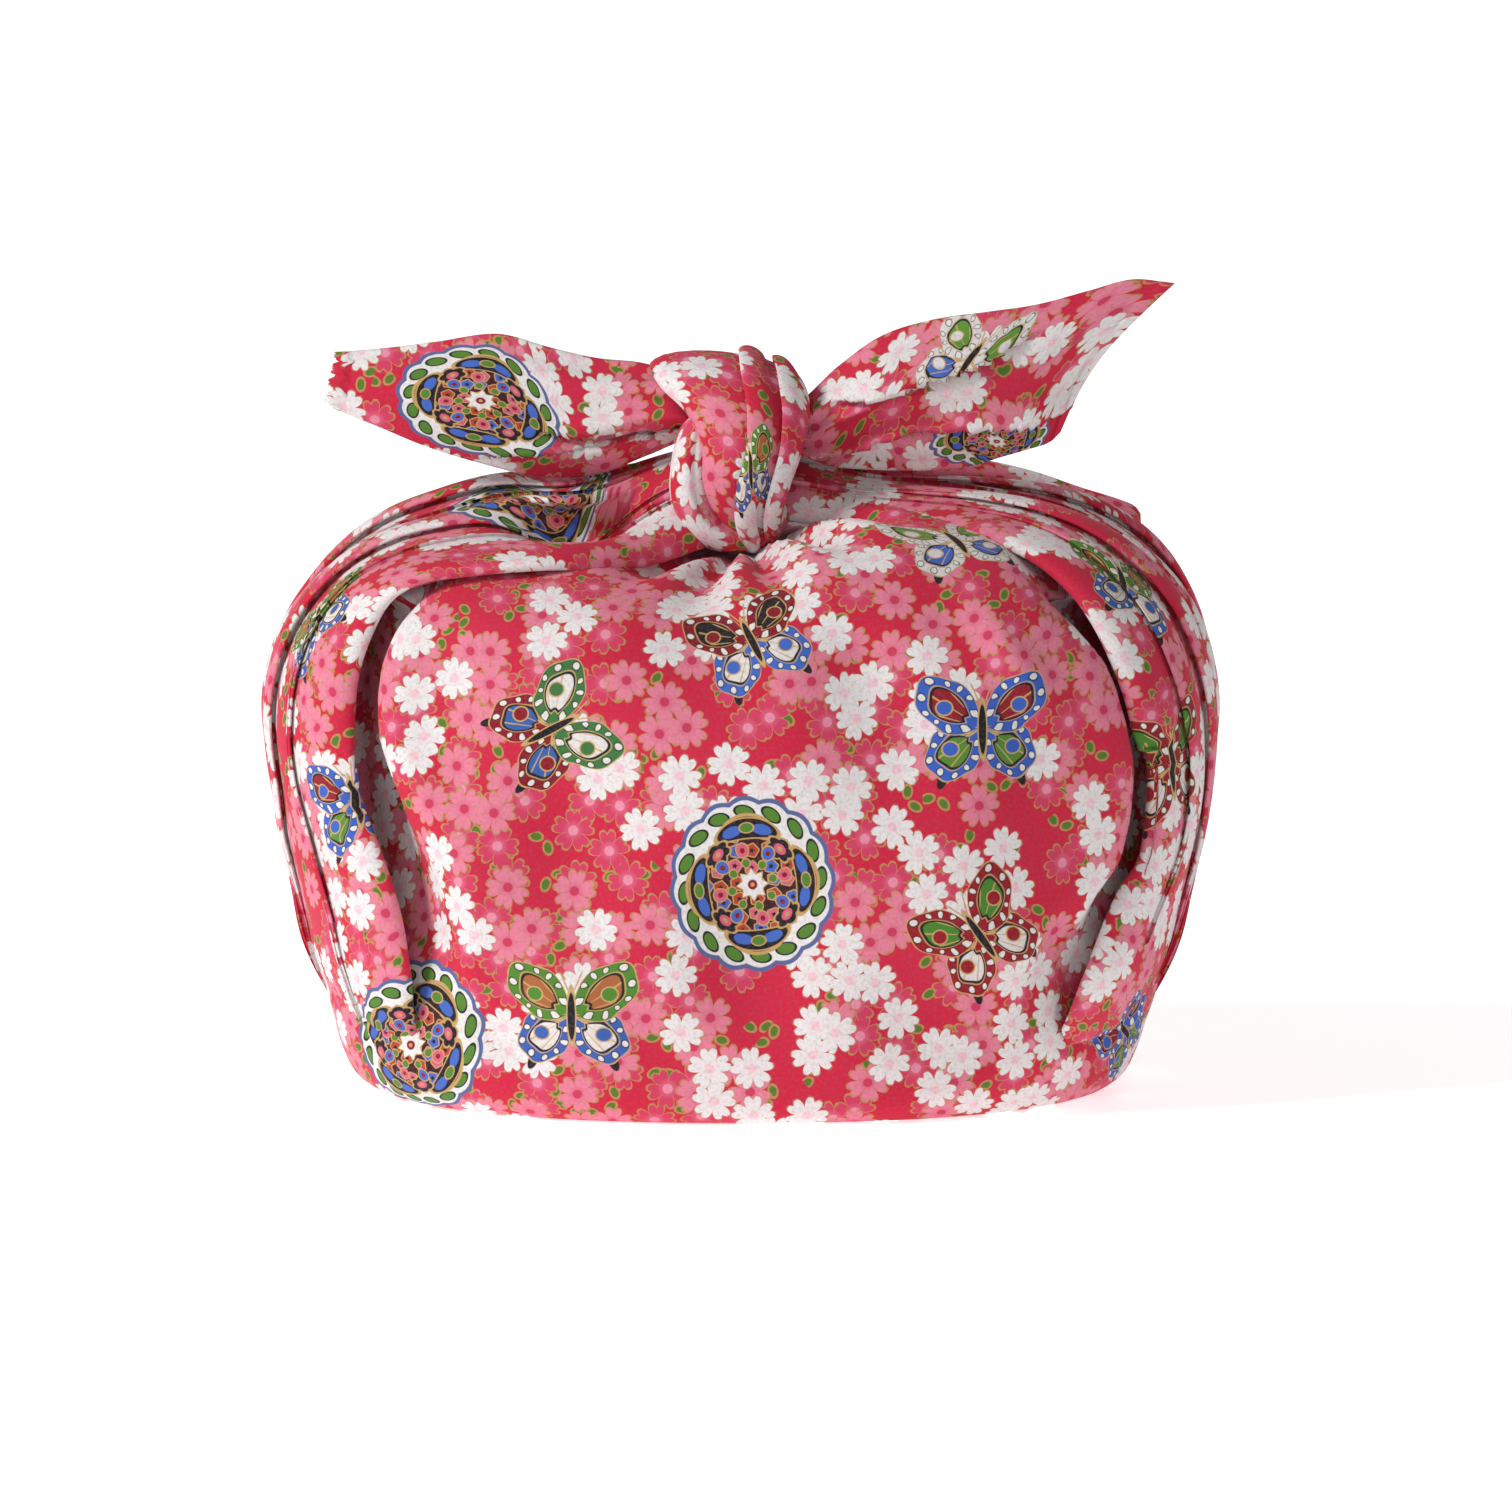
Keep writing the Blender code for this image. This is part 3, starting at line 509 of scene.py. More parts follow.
def spline_rows(control: np.ndarray, count: int) -> np.ndarray:
    """Points along one uniform cubic B-spline per row, ends held by repeating them.

    Args:
        control: Control points (rows, number, 2).
        count: How many points a row gets.

    Returns:
        An array (rows, count, 2).
    """
    ends = [control[:, :1], control[:, :1], control, control[:, -1:], control[:, -1:]]
    held = np.concatenate(ends, axis=1)
    where = np.linspace(0.0, held.shape[1] - 3 - 1e-6, count)
    i = np.floor(where).astype(int)
    f = where - i
    weights = (
        (1 - f) ** 3 / 6,
        (3 * f**3 - 6 * f**2 + 4) / 6,
        (-3 * f**3 + 3 * f**2 + 3 * f + 1) / 6,
        f**3 / 6,
    )
    return sum(w[None, :, None] * held[:, i + k] for k, w in enumerate(weights))


def laid_on(base: np.ndarray, profile: np.ndarray, outward: np.ndarray) -> np.ndarray:
    """A profile (length across, height) laid on a base surface row by row.

    A point is the base point at that length, plus the height along the base's normal.
    Past the base's ends it runs on along the end's tangent.

    Args:
        base: Base grid (rows, columns, 3).
        profile: Profile (rows, points, 2).
        outward: A point (3,) that the normals turn away from.

    Returns:
        The laid grid (rows, points, 3).
    """
    arc = running_length(base, 1)
    across = unit(np.gradient(base, axis=1))
    normal = unit(np.cross(across, unit(np.gradient(base, axis=0))))
    turned = np.sign(np.sum(normal * (base - outward)))
    normal = normal * turned
    number = np.arange(base.shape[1], dtype=float)
    place = np.array([np.interp(x, s, number) for x, s in zip(profile[:, :, 0], arc)])
    i = np.clip(np.floor(place).astype(int), 0, base.shape[1] - 2)
    f = (place - i)[:, :, None]
    row = np.arange(base.shape[0])[:, None]
    mixed = [(1 - f) * g[row, i] + f * g[row, i + 1] for g in (base, normal, across)]
    spot, up, side = mixed
    past = profile[:, :, 0] - np.clip(profile[:, :, 0], 0.0, arc[:, -1:])
    return spot + profile[:, :, 1:2] * unit(up) + past[:, :, None] * unit(side)


@dataclass(frozen=True)
class Pleat:
    """A knife pleat: its fold's place across, its height and how far it laps."""

    place: float
    height: float
    lap: float
    start: float = 0.0
    end: float = 1.0
    drift: float = 0.0


def pleat_profile(
    width: np.ndarray, pleats: list[Pleat], grown: np.ndarray, roll: np.ndarray, count: int
) -> np.ndarray:
    """Section of a pleated cloth as length across and height, with rolled edges.

    At each pleat the cloth runs on under the fold, turns back, turns round the fold's
    edge and falls away softly to the next one.

    Args:
        width: Width of the section at each row.
        pleats: The pleats in order.
        grown: How far each pleat has grown at each row (rows, pleats), 0 to 1.
        roll: Radius of the rolled edges at each row.
        count: Points in a row.

    Returns:
        Profile (rows, count, 2).
    """
    zero = np.zeros_like(width)
    control = [
        (zero + 6.0, -2.4 * roll),
        (zero + 2.0, -2.3 * roll),
        (-0.8 * roll, -1.4 * roll),
        (-1.1 * roll, -0.3 * roll),
        (-0.2 * roll, 0.35 * roll),
        (1.6 * roll, 0.4 * roll),
    ]
    share = np.linspace(-0.5, 0.5, len(width))
    places = [(p.place + p.drift * share) * width for p in pleats] + [width]
    for k, pleat in enumerate(pleats):
        at = places[k]
        gap = places[k + 1] - at
        high = pleat.height * grown[:, k]
        lap = pleat.lap * grown[:, k]
        control += [
            (at - 2.2, 0.10 * high),
            (at - 0.6, 0.02 * high),
            (at + lap, 0.0 * high),
            (at + 1.15 * lap, 0.25 * high),
            (at + 0.55 * lap, 0.42 * high),
            (at - 0.25 * lap, 0.50 * high),
            (at - 0.40 * lap, 0.85 * high),
            (at + 0.02 * lap, 1.15 * high),
            (at + 0.22 * gap, 1.30 * high),
            (at + 0.46 * gap, 1.05 * high),
            (at + 0.70 * gap, 0.45 * high),
        ]
    control += [
        (width - 1.6 * roll, 0.4 * roll),
        (width + 0.2 * roll, 0.35 * roll),
        (width + 1.1 * roll, -0.3 * roll),
        (width + 0.8 * roll, -1.4 * roll),
        (width - 2.0, -2.3 * roll),
        (width - 6.0, -2.4 * roll),
    ]
    points = np.stack([np.stack(pair, axis=1) for pair in control], axis=1)
    return spline_rows(points, count)


class Motif(Enum):
    """What is printed on top of the blossoms."""

    NONE = 0
    BUTTERFLY = 1
    MEDALLION = 2


class Wings(Enum):
    """Colours of a butterfly (0 to 255): fore wings, hind wings, and the two wings' hearts."""

    BLUE = ((52, 92, 184), (52, 92, 184), (84, 132, 46), (140, 22, 36))
    DARK = ((132, 20, 34), (60, 100, 188), (218, 212, 208), (34, 28, 30))
    GREEN = ((76, 130, 42), (54, 92, 168), (218, 212, 208), (166, 98, 54))
    STRIPED = ((58, 112, 58), (134, 20, 34), (52, 92, 160), (218, 212, 210))
    RED = ((146, 20, 34), (146, 20, 34), (216, 210, 208), (70, 128, 40))
    WHITE = ((216, 210, 208), (216, 210, 208), (60, 100, 186), (92, 142, 50))
    PINK = ((206, 92, 128), (34, 30, 32), (84, 132, 46), (216, 210, 208))


@dataclass(frozen=True)
class MotifPlace:
    """Where a motif is printed.

    Attributes:
        kind: Which motif.
        x: x of its middle on the bag.
        z: z of its middle.
        turn: Its turn in degrees.
        size: Its size against the usual one.
        squeeze: Its width against its height.
        wings: A butterfly's colours.
        at: Its place in the print, given where it runs over two portions.
    """

    kind: Motif
    x: float
    z: float
    turn: float = 0.0
    size: float = 1.0
    squeeze: float = 1.0
    wings: Wings = Wings.BLUE
    at: tuple[float, float] | None = None


def linear(colour: tuple[int, int, int]) -> tuple[float, float, float, float]:
    """A colour in linear light.

    Args:
        colour: Its screen values, 0 to 255.

    Returns:
        Red, green, blue and an opacity of 1.
    """
    c = np.asarray(colour, float) / 255.0
    c = np.where(c <= 0.04045, c / 12.92, ((c + 0.055) / 1.055) ** 2.4)
    return (float(c[0]), float(c[1]), float(c[2]), 1.0)


@dataclass
class Patch:
    """A grid of cloth with its place in the print.

    Attributes:
        points: Grid (rows, columns, 3) in millimetres.
        prints: Place in the print (rows, columns, 2) in millimetres.
        motifs: Motifs printed on it.
        front: True if a motif is looked for on the side that faces the front.
    """

    points: np.ndarray
    prints: np.ndarray
    motifs: list[MotifPlace] = field(default_factory=list)
    front: bool = True

    def corners(self) -> np.ndarray:
        """Vertex numbers of each quad.

        Returns:
            An array (faces, 4).
        """
        rows, columns = self.points.shape[:2]
        number = np.arange(rows * columns).reshape(rows, columns)
        quads = (number[:-1, :-1], number[:-1, 1:], number[1:, 1:], number[1:, :-1])
        return np.stack(quads, axis=-1).reshape(-1, 4)

    def anchors(self) -> np.ndarray:
        """Each motif's place in the print: its own, or that of the nearest point that faces right.

        Returns:
            Places (motifs, 2) in millimetres.
        """
        flat = self.points.reshape(-1, 3)
        prints = self.prints.reshape(-1, 2)
        depth = flat[:, 1] if self.front else -flat[:, 1]
        found = []
        for place in self.motifs:
            if place.at is not None:
                found.append(np.asarray(place.at))
                continue
            away = np.hypot(flat[:, 0] - place.x, flat[:, 2] - place.z)
            near = away < away.min() + 2.0
            found.append(prints[np.argmin(np.where(near, depth, 1e9))])
        return np.asarray(found).reshape(-1, 2)

    def motif_layers(self, quads: np.ndarray) -> tuple[np.ndarray, np.ndarray, np.ndarray]:
        """Each face's motif, its corners' places in that motif, and its four colours.

        A face takes the motif whose middle is nearest in the print. A corner's place is
        its offset from that middle, turned, scaled and squeezed as the motif says.

        Args:
            quads: Vertex numbers of each face.

        Returns:
            Kinds (faces,), places (faces, 4, 2) in millimetres, colours (faces, 4, 4).
        """
        prints = self.prints.reshape(-1, 2)[quads]
        kinds = np.zeros(len(quads))
        places = np.full((len(quads), 4, 2), FAR_OFF)
        colours = np.ones((len(quads), 4, 4))
        if not self.motifs:
            return kinds, places, colours
        anchors = self.anchors()
        middle = prints.mean(axis=1)
        nearest = np.argmin(np.linalg.norm(middle[:, None] - anchors[None], axis=2), axis=1)
        offset = prints - anchors[nearest][:, None]
        turn = np.radians([m.turn for m in self.motifs])[nearest][:, None]
        size = np.array([m.size for m in self.motifs])[nearest][:, None]
        squeeze = np.array([m.squeeze for m in self.motifs])[nearest][:, None]
        p = (np.cos(turn) * offset[:, :, 0] + np.sin(turn) * offset[:, :, 1]) / size
        q = (-np.sin(turn) * offset[:, :, 0] + np.cos(turn) * offset[:, :, 1]) / size
        places = np.stack([p / squeeze, q], axis=-1)
        kinds = np.array([float(m.kind.value) for m in self.motifs])[nearest]
        tones = [[linear(c) for c in m.wings.value] for m in self.motifs]
        return kinds, places, np.asarray(tones)[nearest]


def cloth_mesh(name: str, patches: list[Patch]) -> bpy.types.Mesh:
    """A mesh of patches side by side, with its two UV maps and the motif attributes.

    Args:
        name: The mesh's name.
        patches: Its patches, all with the same side out.

    Returns:
        The mesh.
    """
    quads, layers, first = [], [], 0
    for patch in patches:
        faces = patch.corners()
        layers.append((patch.prints.reshape(-1, 2)[faces], *patch.motif_layers(faces)))
        quads.append(faces + first)
        first += patch.points[:, :, 0].size
    prints, kinds, places, tones = (np.concatenate(parts) for parts in zip(*layers))
    vertices = np.vstack([patch.points.reshape(-1, 3) for patch in patches]) * MM
    faces = np.vstack(quads)
    mesh = bpy.data.meshes.new(name)
    mesh.vertices.add(len(vertices))
    mesh.vertices.foreach_set("co", vertices.ravel())
    mesh.loops.add(faces.size)
    mesh.loops.foreach_set("vertex_index", faces.ravel())
    mesh.polygons.add(len(faces))
    mesh.polygons.foreach_set("loop_start", np.arange(0, faces.size, 4))
    mesh.update(calc_edges=True)
    for title, values in (("print", prints), ("motif", places)):
        layer = mesh.uv_layers.new(name=title)
        layer.uv.foreach_set("vector", (values * MM).ravel())
    kind_layer = mesh.attributes.new("motif_kind", "FLOAT", "FACE")
    kind_layer.data.foreach_set("value", kinds)
    for k, title in enumerate(("fore_tone", "hind_tone", "hind_heart", "fore_heart")):
        layer = mesh.attributes.new(title, "FLOAT_COLOR", "FACE")
        layer.data.foreach_set("color", tones[:, k].ravel())
    return mesh


def cloth_object(name: str, patches: list[Patch], thickness: float) -> bpy.types.Object:
    """A cloth piece from its patches, sewn where they meet and given its thickness.

    Args:
        name: The piece's name.
        patches: Its patches, all with the same side out.
        thickness: Thickness in millimetres, 0 for a piece that is already closed.

    Returns:
        The object.
    """
    mesh = cloth_mesh(name, patches)
    work = bmesh.new()
    work.from_mesh(mesh)
    bmesh.ops.remove_doubles(work, verts=work.verts, dist=SEWING_REACH)
    for face in work.faces:
        face.smooth = True
    work.to_mesh(mesh)
    work.free()
    mesh.validate()
    thing = bpy.data.objects.new(name, mesh)
    bpy.context.scene.collection.objects.link(thing)
    if thickness > 0.0:
        layer = thing.modifiers.new("cloth thickness", "SOLIDIFY")
        layer.thickness = thickness * MM
        layer.offset = -1.0
        layer.use_even_offset = False
    return thing


def outward_sign(grid: np.ndarray, centre: np.ndarray) -> float:
    """Which way a grid's faces turn.

    Args:
        grid: The grid (rows, columns, 3).
        centre: A point behind the faces.

    Returns:
        1 if they turn away from the point, else -1.
    """
    normal = np.cross(np.gradient(grid, axis=1), np.gradient(grid, axis=0))
    return float(np.sign(np.sum(normal * (grid - centre))))


def faced(patch: Patch, centre: np.ndarray) -> Patch:
    """The patch with its columns turned round if its faces look towards the centre.

    Args:
        patch: The patch, which is changed.
        centre: A point behind the faces.

    Returns:
        The same patch.
    """
    if outward_sign(patch.points, centre) < 0.0:
        patch.points = patch.points[:, ::-1]
        patch.prints = patch.prints[:, ::-1]
    return patch


@dataclass
class BodyWrap:
    """The wrap round the load: base, front panel and flap, sides and back.

    The slit behind the straps stays open, and the inside is hollow.
    """

    stations: int = 132
    around: int = RING_POINTS
    thickness: float = 1.0
    print_shift_back: float = 900.0
    print_shift_base: float = 1800.0
    front_motifs: list[MotifPlace] = field(default_factory=list)
    back_motifs: list[MotifPlace] = field(default_factory=list)

    def rings(self) -> np.ndarray:
        """Outlines from the base to the slit, with creases, rim and wrinkles.

        Returns:
            A grid (rows, columns, 3).
        """
        rows = curve_through(BODY_ROWS, self.stations, [0, 1, 2, 3])
        rows[:, 0] = np.maximum(rows[:, 0], 0.0)
        outlines = [rounded_outline(*row[1:], self.around) for row in rows]
        heights = np.repeat(rows[:, :1, None], self.around, axis=1)
        grid = np.concatenate([np.asarray(outlines), heights], axis=2)
        return self.wrinkled(self.rimmed(self.creased(grid)))

    def creased(self, grid: np.ndarray) -> np.ndarray:
        """Move points in beside the straps and for the dents of the front panel.

        A valley's depth is its table's at that height, times a soft step that falls over
        the valley's width up to the strap's edge and stays under the strap, less a low
        swell before it.

        Args:
            grid: The plain rings.

        Returns:
            The rings with creases.
        """
        x, y, z = grid[:, :, 0], grid[:, :, 1], grid[:, :, 2]
        arc = running_length(np.concatenate([grid, grid[:, :1]], axis=1), 1)[:, :-1]
        inward = np.zeros_like(x)
        edges = (
            (LEFT_STRAP_ROWS, 0, -1.0, LEFT_VALLEY),
            (LEFT_STRAP_ROWS, 6, 1.0, BACK_VALLEY),
            (RIGHT_STRAP_ROWS, 0, 1.0, RIGHT_VALLEY),
            (RIGHT_STRAP_ROWS, 6, -1.0, BACK_VALLEY),
        )
        for rows, first, way, valley in edges:
            edge_x, edge_y = edge_at(rows, first, z[:, :1])
            away = np.hypot(x - edge_x, y - edge_y)
            nearest = np.argmin(away, axis=1)
            held = np.pad(arc[np.arange(len(arc)), nearest], 6, mode="edge")
            at = np.convolve(held, np.hanning(15)[1:-1] / np.hanning(15).sum(), mode="valid")
            under = -(arc - at[:, None]) * way
            heights, depths, widths = np.asarray(valley).T
            depth = np.interp(z, heights, depths)
            width = np.interp(z, heights, widths)
            step = smooth((under + width) / (width + 2.0)) * (1.0 - smooth((under - 14.0) / 16.0))
            swell = 0.18 * bell((under + width + 5.0) / 6.0)
            inward += depth * (step - swell)
        front = y < -5.0
        for cx, cz, half_x, half_z, turn, dent in PANEL_DENTS:
            c, s = np.cos(np.radians(turn)), np.sin(np.radians(turn))
            u = (c * (x - cx) + s * (z - cz)) / half_x
            v = (-s * (x - cx) + c * (z - cz)) / half_z
            low = smooth((z - 4.0) / 14.0)
            inward += np.where(front, dent * low * np.exp(-(u * u) - v * v), 0.0)
        flat = np.maximum(np.hypot(x / 1.4, y), 1e-6)
        side = smooth((122.0 - z) / 8.0)
        moved = grid.copy()
        moved[:, :, 0] -= inward * side * (x / 1.4) / flat
        moved[:, :, 1] -= inward * side * y / flat
        moved[:, :, 2] -= inward * (1.0 - side) * 0.4
        return moved

    def rimmed(self, grid: np.ndarray) -> np.ndarray:
        """Lift the flap's rim on the right of the knot and press it down under the knot.

        Args:
            grid: The creased rings.

        Returns:
            The rings with the rim.
        """
        x, y, z = grid[:, :, 0], grid[:, :, 1], grid[:, :, 2]
        near_top = smooth((z - 108.0) / 18.0)
        ahead = smooth((12.0 - y) / 30.0)
        rise = 6.5 * smooth((x + 4.0) / 34.0) * (1.0 - smooth((x - 58.0) / 26.0))
        dip = 4.4 * bell((x + 9.0) / 23.0) * smooth((8.0 - y) / 20.0)
        ripple = 0.5 * np.sin(0.19 * x + 1.2) * bell((y + 45.0) / 22.0)
        moved = grid.copy()
        moved[:, :, 2] += near_top * (ahead * rise - dip + ripple)
        return moved

    def wrinkled(self, grid: np.ndarray) -> np.ndarray:
        """Add the pulls that fan out under the knot and slack waves over the panels.

        The fan is a cosine of the direction from the knot's foot that fades with
        distance. The slack is a sum of slow sines of x and z. The pulls are slanted
        waves at the two lower corners.

        Args:
            grid: The rings with creases and rim.

        Returns:
            The finished rings.
        """
        x, y, z = grid[:, :, 0], grid[:, :, 1], grid[:, :, 2]
        foot_x, foot_y = x - 1.0, y + 14.0
        way = np.arctan2(foot_x, -foot_y)
        far = np.hypot(foot_x, 0.8 * foot_y)
        top = smooth((z - 112.0) / 10.0) * smooth((-16.0 - y) / 10.0)
        fan = 2.5 * np.cos(15.0 * way + 0.6) * bell((far - 24.0) / 16.0) * top
        slack = 1.1 * np.sin(0.055 * x + 0.09 * z + 0.4) + 1.0 * np.sin(0.12 * x - 0.06 * z)
        slack += 0.7 * np.sin(0.19 * x + 0.07 * z + 1.8 * np.sin(0.045 * z + 0.02 * x))
        slack *= 1.0 - smooth((np.abs(x) - 60.0) / 22.0)
        slack *= smooth((z - 6.0) / 20.0) * (1.0 - smooth((z - 112.0) / 12.0))
        way_round = 90.0 * np.arctan2(np.abs(x), -y)
        corner = bell((way_round - 98.0) / 16.0) * bell((z - 24.0) / 13.0)
        pulls = 0.8 * corner * np.cos((0.92 * way_round - 0.38 * z) * 1.15)
        moved = grid.copy()
        moved[:, :, 0] += np.sign(x) * pulls
        moved[:, :, 2] += fan
        moved[:, :, 1] += np.where(y < 0.0, -1.0, 1.0) * slack
        return moved

    def patches(self) -> list[Patch]:
        """Front half, back half and base, each with its own place in the print.

        Across is the length round a ring from its middle, and up is the length along a
        column from the widest ring. On the base the print is laid flat.

        Returns:
            The three patches.
        """
        rings = self.rings()
        half = self.around // 2
        quarter = self.around // 4
        widest = int(np.argmin(np.abs(rings[:, half, 2] - WIDEST)))
        up = running_length(rings, 0)
        up = up - up[widest]
        loop = np.concatenate([rings, rings[:, :1]], axis=1)
        arc = running_length(loop, 1)
        whole = arc[:, -1:]
        front = slice(quarter, 3 * quarter + 1)
        across = arc[:, half : half + 1] - arc[:, :-1]
        front_print = np.stack([across, up], axis=-1)[:, front]
        order = np.concatenate([np.arange(3 * quarter, self.around), np.arange(quarter + 1)])
        back_across = np.where(arc[:, :-1] > 0.5 * whole, arc[:, :-1] - whole, arc[:, :-1])
        back_print = np.stack([back_across + self.print_shift_back, up], axis=-1)[:, order]
        share = np.linspace(0.0, 1.0, 15)[:, None, None]
        ring = loop[:1] * np.array((1.0, 1.0, 0.0))
        disc = ring * share
        disc_print = disc[:, :, :2] + self.print_shift_base
        return [
            faced(Patch(rings[:, front], front_print, self.front_motifs), BODY_MIDDLE),
            faced(Patch(rings[:, order], back_print, self.back_motifs, False), BODY_MIDDLE),
            faced(Patch(disc, disc_print), BODY_MIDDLE),
        ]

    def build(self) -> bpy.types.Object:
        """The body wrap's object."""
        return cloth_object("body_wrap", self.patches(), self.thickness)


@dataclass
class Strap:
    """A side corner of the cloth, gathered in pleats up the side and into the knot."""

    name: str
    rows: tuple
    pleats: tuple
    sign: float
    stations: int = 126
    across: int = 190
    thickness: float = 0.9
    motifs: list[MotifPlace] = field(default_factory=list)

    def base(self) -> tuple[np.ndarray, np.ndarray]:
        """The smooth surface under the pleats and each station's share of the way.

        A section is a half ellipse from the front edge over the crown to the back edge,
        moved out to the body wall where it would lie inside it.

        Returns:
            Grid (stations, columns, 3) and shares (stations,).
        """
        grid = half_ellipses(curve_through(self.rows, self.stations, CROWN), 161)
        z = grid[:, :, 2]
        on_wall = 1.0 - smooth((z - WALL_TOP) / 12.0)
        lift = np.interp(z, *np.asarray(LIFT_ROWS).T)
        wall = wall_side(grid[:, :, 1], z)
        beyond = np.maximum(self.sign * grid[:, :, 0], wall + lift)
        grid[:, :, 0] += on_wall * (self.sign * beyond - grid[:, :, 0])
        return grid, np.linspace(0.0, 1.0, self.stations)

    def growth(self, pleats: list[Pleat], share: np.ndarray, width: np.ndarray) -> np.ndarray:
        """How far each pleat has grown at each station.

        A pleat rises before its start and fades after its end by soft steps, and is
        smaller on a narrow section and near the knot.

        Args:
            pleats: The pleats.
            share: Each station's share of the way up.
            width: Each station's width.

        Returns:
            Growth (stations, pleats), 0 to 1.
        """
        grown = []
        for k, pleat in enumerate(pleats):
            rise = smooth((share - pleat.start + 0.16) / 0.2)
            fade = 1.0 - 0.95 * smooth((share - pleat.end + 0.06) / 0.2)
            narrow = np.clip(width / 105.0, 0.35, 1.0)
            near_knot = 1.0 - 0.6 * smooth((share - 0.76) / 0.16)
            wave = 0.85 + 0.15 * np.sin(9.0 * share + 2.3 * k)
            grown.append(rise * fade * narrow * near_knot * wave)
        return np.stack(grown, axis=1)

    def grid(self) -> tuple[np.ndarray, np.ndarray]:
        """Pleated surface and its place in the print, which runs on from the body's.

        Returns:
            Points (stations, across, 3) and prints (stations, across, 2).
        """
        base, share = self.base()
        width = running_length(base, 1)[:, -1]
        pleats = [Pleat(*row) for row in self.pleats]
        grown = self.growth(pleats, share, width)
        roll = 0.5 + 1.2 * smooth((share - 0.04) / 0.2) * (1.0 - 0.3 * smooth((share - 0.7) / 0.3))
        profile = pleat_profile(width, pleats, grown, roll, self.across)
        sway = 1.3 * np.sin(7.0 * share)[:, None] * np.sin(np.pi * profile[:, :, 0] / width[:, None])
        profile[:, :, 0] += sway * smooth((share - 0.1) / 0.2)[:, None]
        profile[:, :, 1] += self.hollow(profile, width, share)
        points = laid_on(base, profile, BODY_MIDDLE)
        cloth = running_length(points, 1)
        turn = np.argmin(profile[:, : self.across // 4, 0], axis=1)
        cloth = cloth - cloth[np.arange(len(cloth)), turn][:, None]
        ahead = np.array([front_arc(*place) for place in base[:, 0]])
        beside = base[:, 0, 2] < WALL_TOP
        ahead = np.where(beside, ahead, ahead[beside][-1])
        along = running_length(base, 0)[:, base.shape[1] // 2] + base[0, 0, 2] - WIDEST
        along = np.repeat(along[:, None], self.across, axis=1)
        return points, np.stack([self.sign * (ahead[:, None] + cloth), along], axis=-1)

    def hollow(self, profile: np.ndarray, width: np.ndarray, share: np.ndarray) -> np.ndarray:
        """Extra height of the section, nothing on a plain strap."""
        return np.zeros_like(profile[:, :, 1])

    def build(self) -> bpy.types.Object:
        """The strap's object."""
        patch = faced(Patch(*self.grid(), self.motifs), BODY_MIDDLE)
        return cloth_object(self.name, [patch], self.thickness)


@dataclass
class LeftStrap(Strap):
    """The left strap, with the open pocket between its upper layer and its lower roll.

    Attributes:
        pocket_share: The pocket's share of the way up the strap.
        pocket_reach: How far it reaches either way, as a share.
        pocket_place: Its place across the strap.
        pocket_depth: Its depth in millimetres.
        lip_slide: How far the upper lip slides forward over it.
    """

    pocket_share: float = 0.85
    pocket_reach: float = 0.065
    pocket_place: float = 0.28
    pocket_depth: float = 13.0
    lip_slide: float = 12.0

    def hollow(self, profile: np.ndarray, width: np.ndarray, share: np.ndarray) -> np.ndarray:
        """A pocket: a dent between a lower roll and an upper lip, fading along the strap.

        The upper lip slides forward over the dent, so that the pocket lies in shade.

        Args:
            profile: The section (stations, points, 2), whose lengths are changed.
            width: Each station's width.
            share: Each station's share of the way up.

        Returns:
            Extra height (stations, points).
        """
        place = profile[:, :, 0] / width[:, None]
        along = bell((share[:, None] - self.pocket_share) / self.pocket_reach)
        dent = self.pocket_depth * bell((place - self.pocket_place) / 0.10)
        lower = 1.6 * bell((place - 0.05) / 0.05)
        upper = 4.4 * bell((place - 0.46) / 0.08)
        lip = smooth((place - 0.37) / 0.07) * (1.0 - smooth((place - 0.50) / 0.4))
        profile[:, :, 0] -= self.lip_slide * along * lip
        return along * (lower + upper - dent)


@dataclass
class Band:
    """A creased band of the knot: a half ellipse between two edges, pleated and rolled."""

    rows: tuple
    pleats: tuple
    stations: int
    across: int
    print_origin: tuple[float, float]
    centre: tuple[float, float, float]
    motifs: list[MotifPlace] = field(default_factory=list)

    def patch(self) -> Patch:
        """The band as a patch with its edges turned under.

        Returns:
            The patch.
        """
        base = half_ellipses(curve_through(self.rows, self.stations, CROWN), 81)
        width = running_length(base, 1)[:, -1]
        share = np.linspace(0.0, 1.0, self.stations)
        pleats = [Pleat(*row) for row in self.pleats]
        steady = 0.85 + 0.15 * np.sin(8.0 * share)
        grown = np.repeat(steady[:, None], len(pleats), axis=1)
        roll = np.full(self.stations, 1.3)
        profile = pleat_profile(width, pleats, grown, roll, self.across)
        points = laid_on(base, profile, np.asarray(self.centre))
        cloth = running_length(points, 1)
        along = running_length(base, 0)[:, base.shape[1] // 2]
        along = np.repeat(along[:, None], self.across, axis=1)
        prints = np.stack([cloth, -along], axis=-1) + np.asarray(self.print_origin)
        return faced(Patch(points, prints, self.motifs), np.asarray(self.centre))


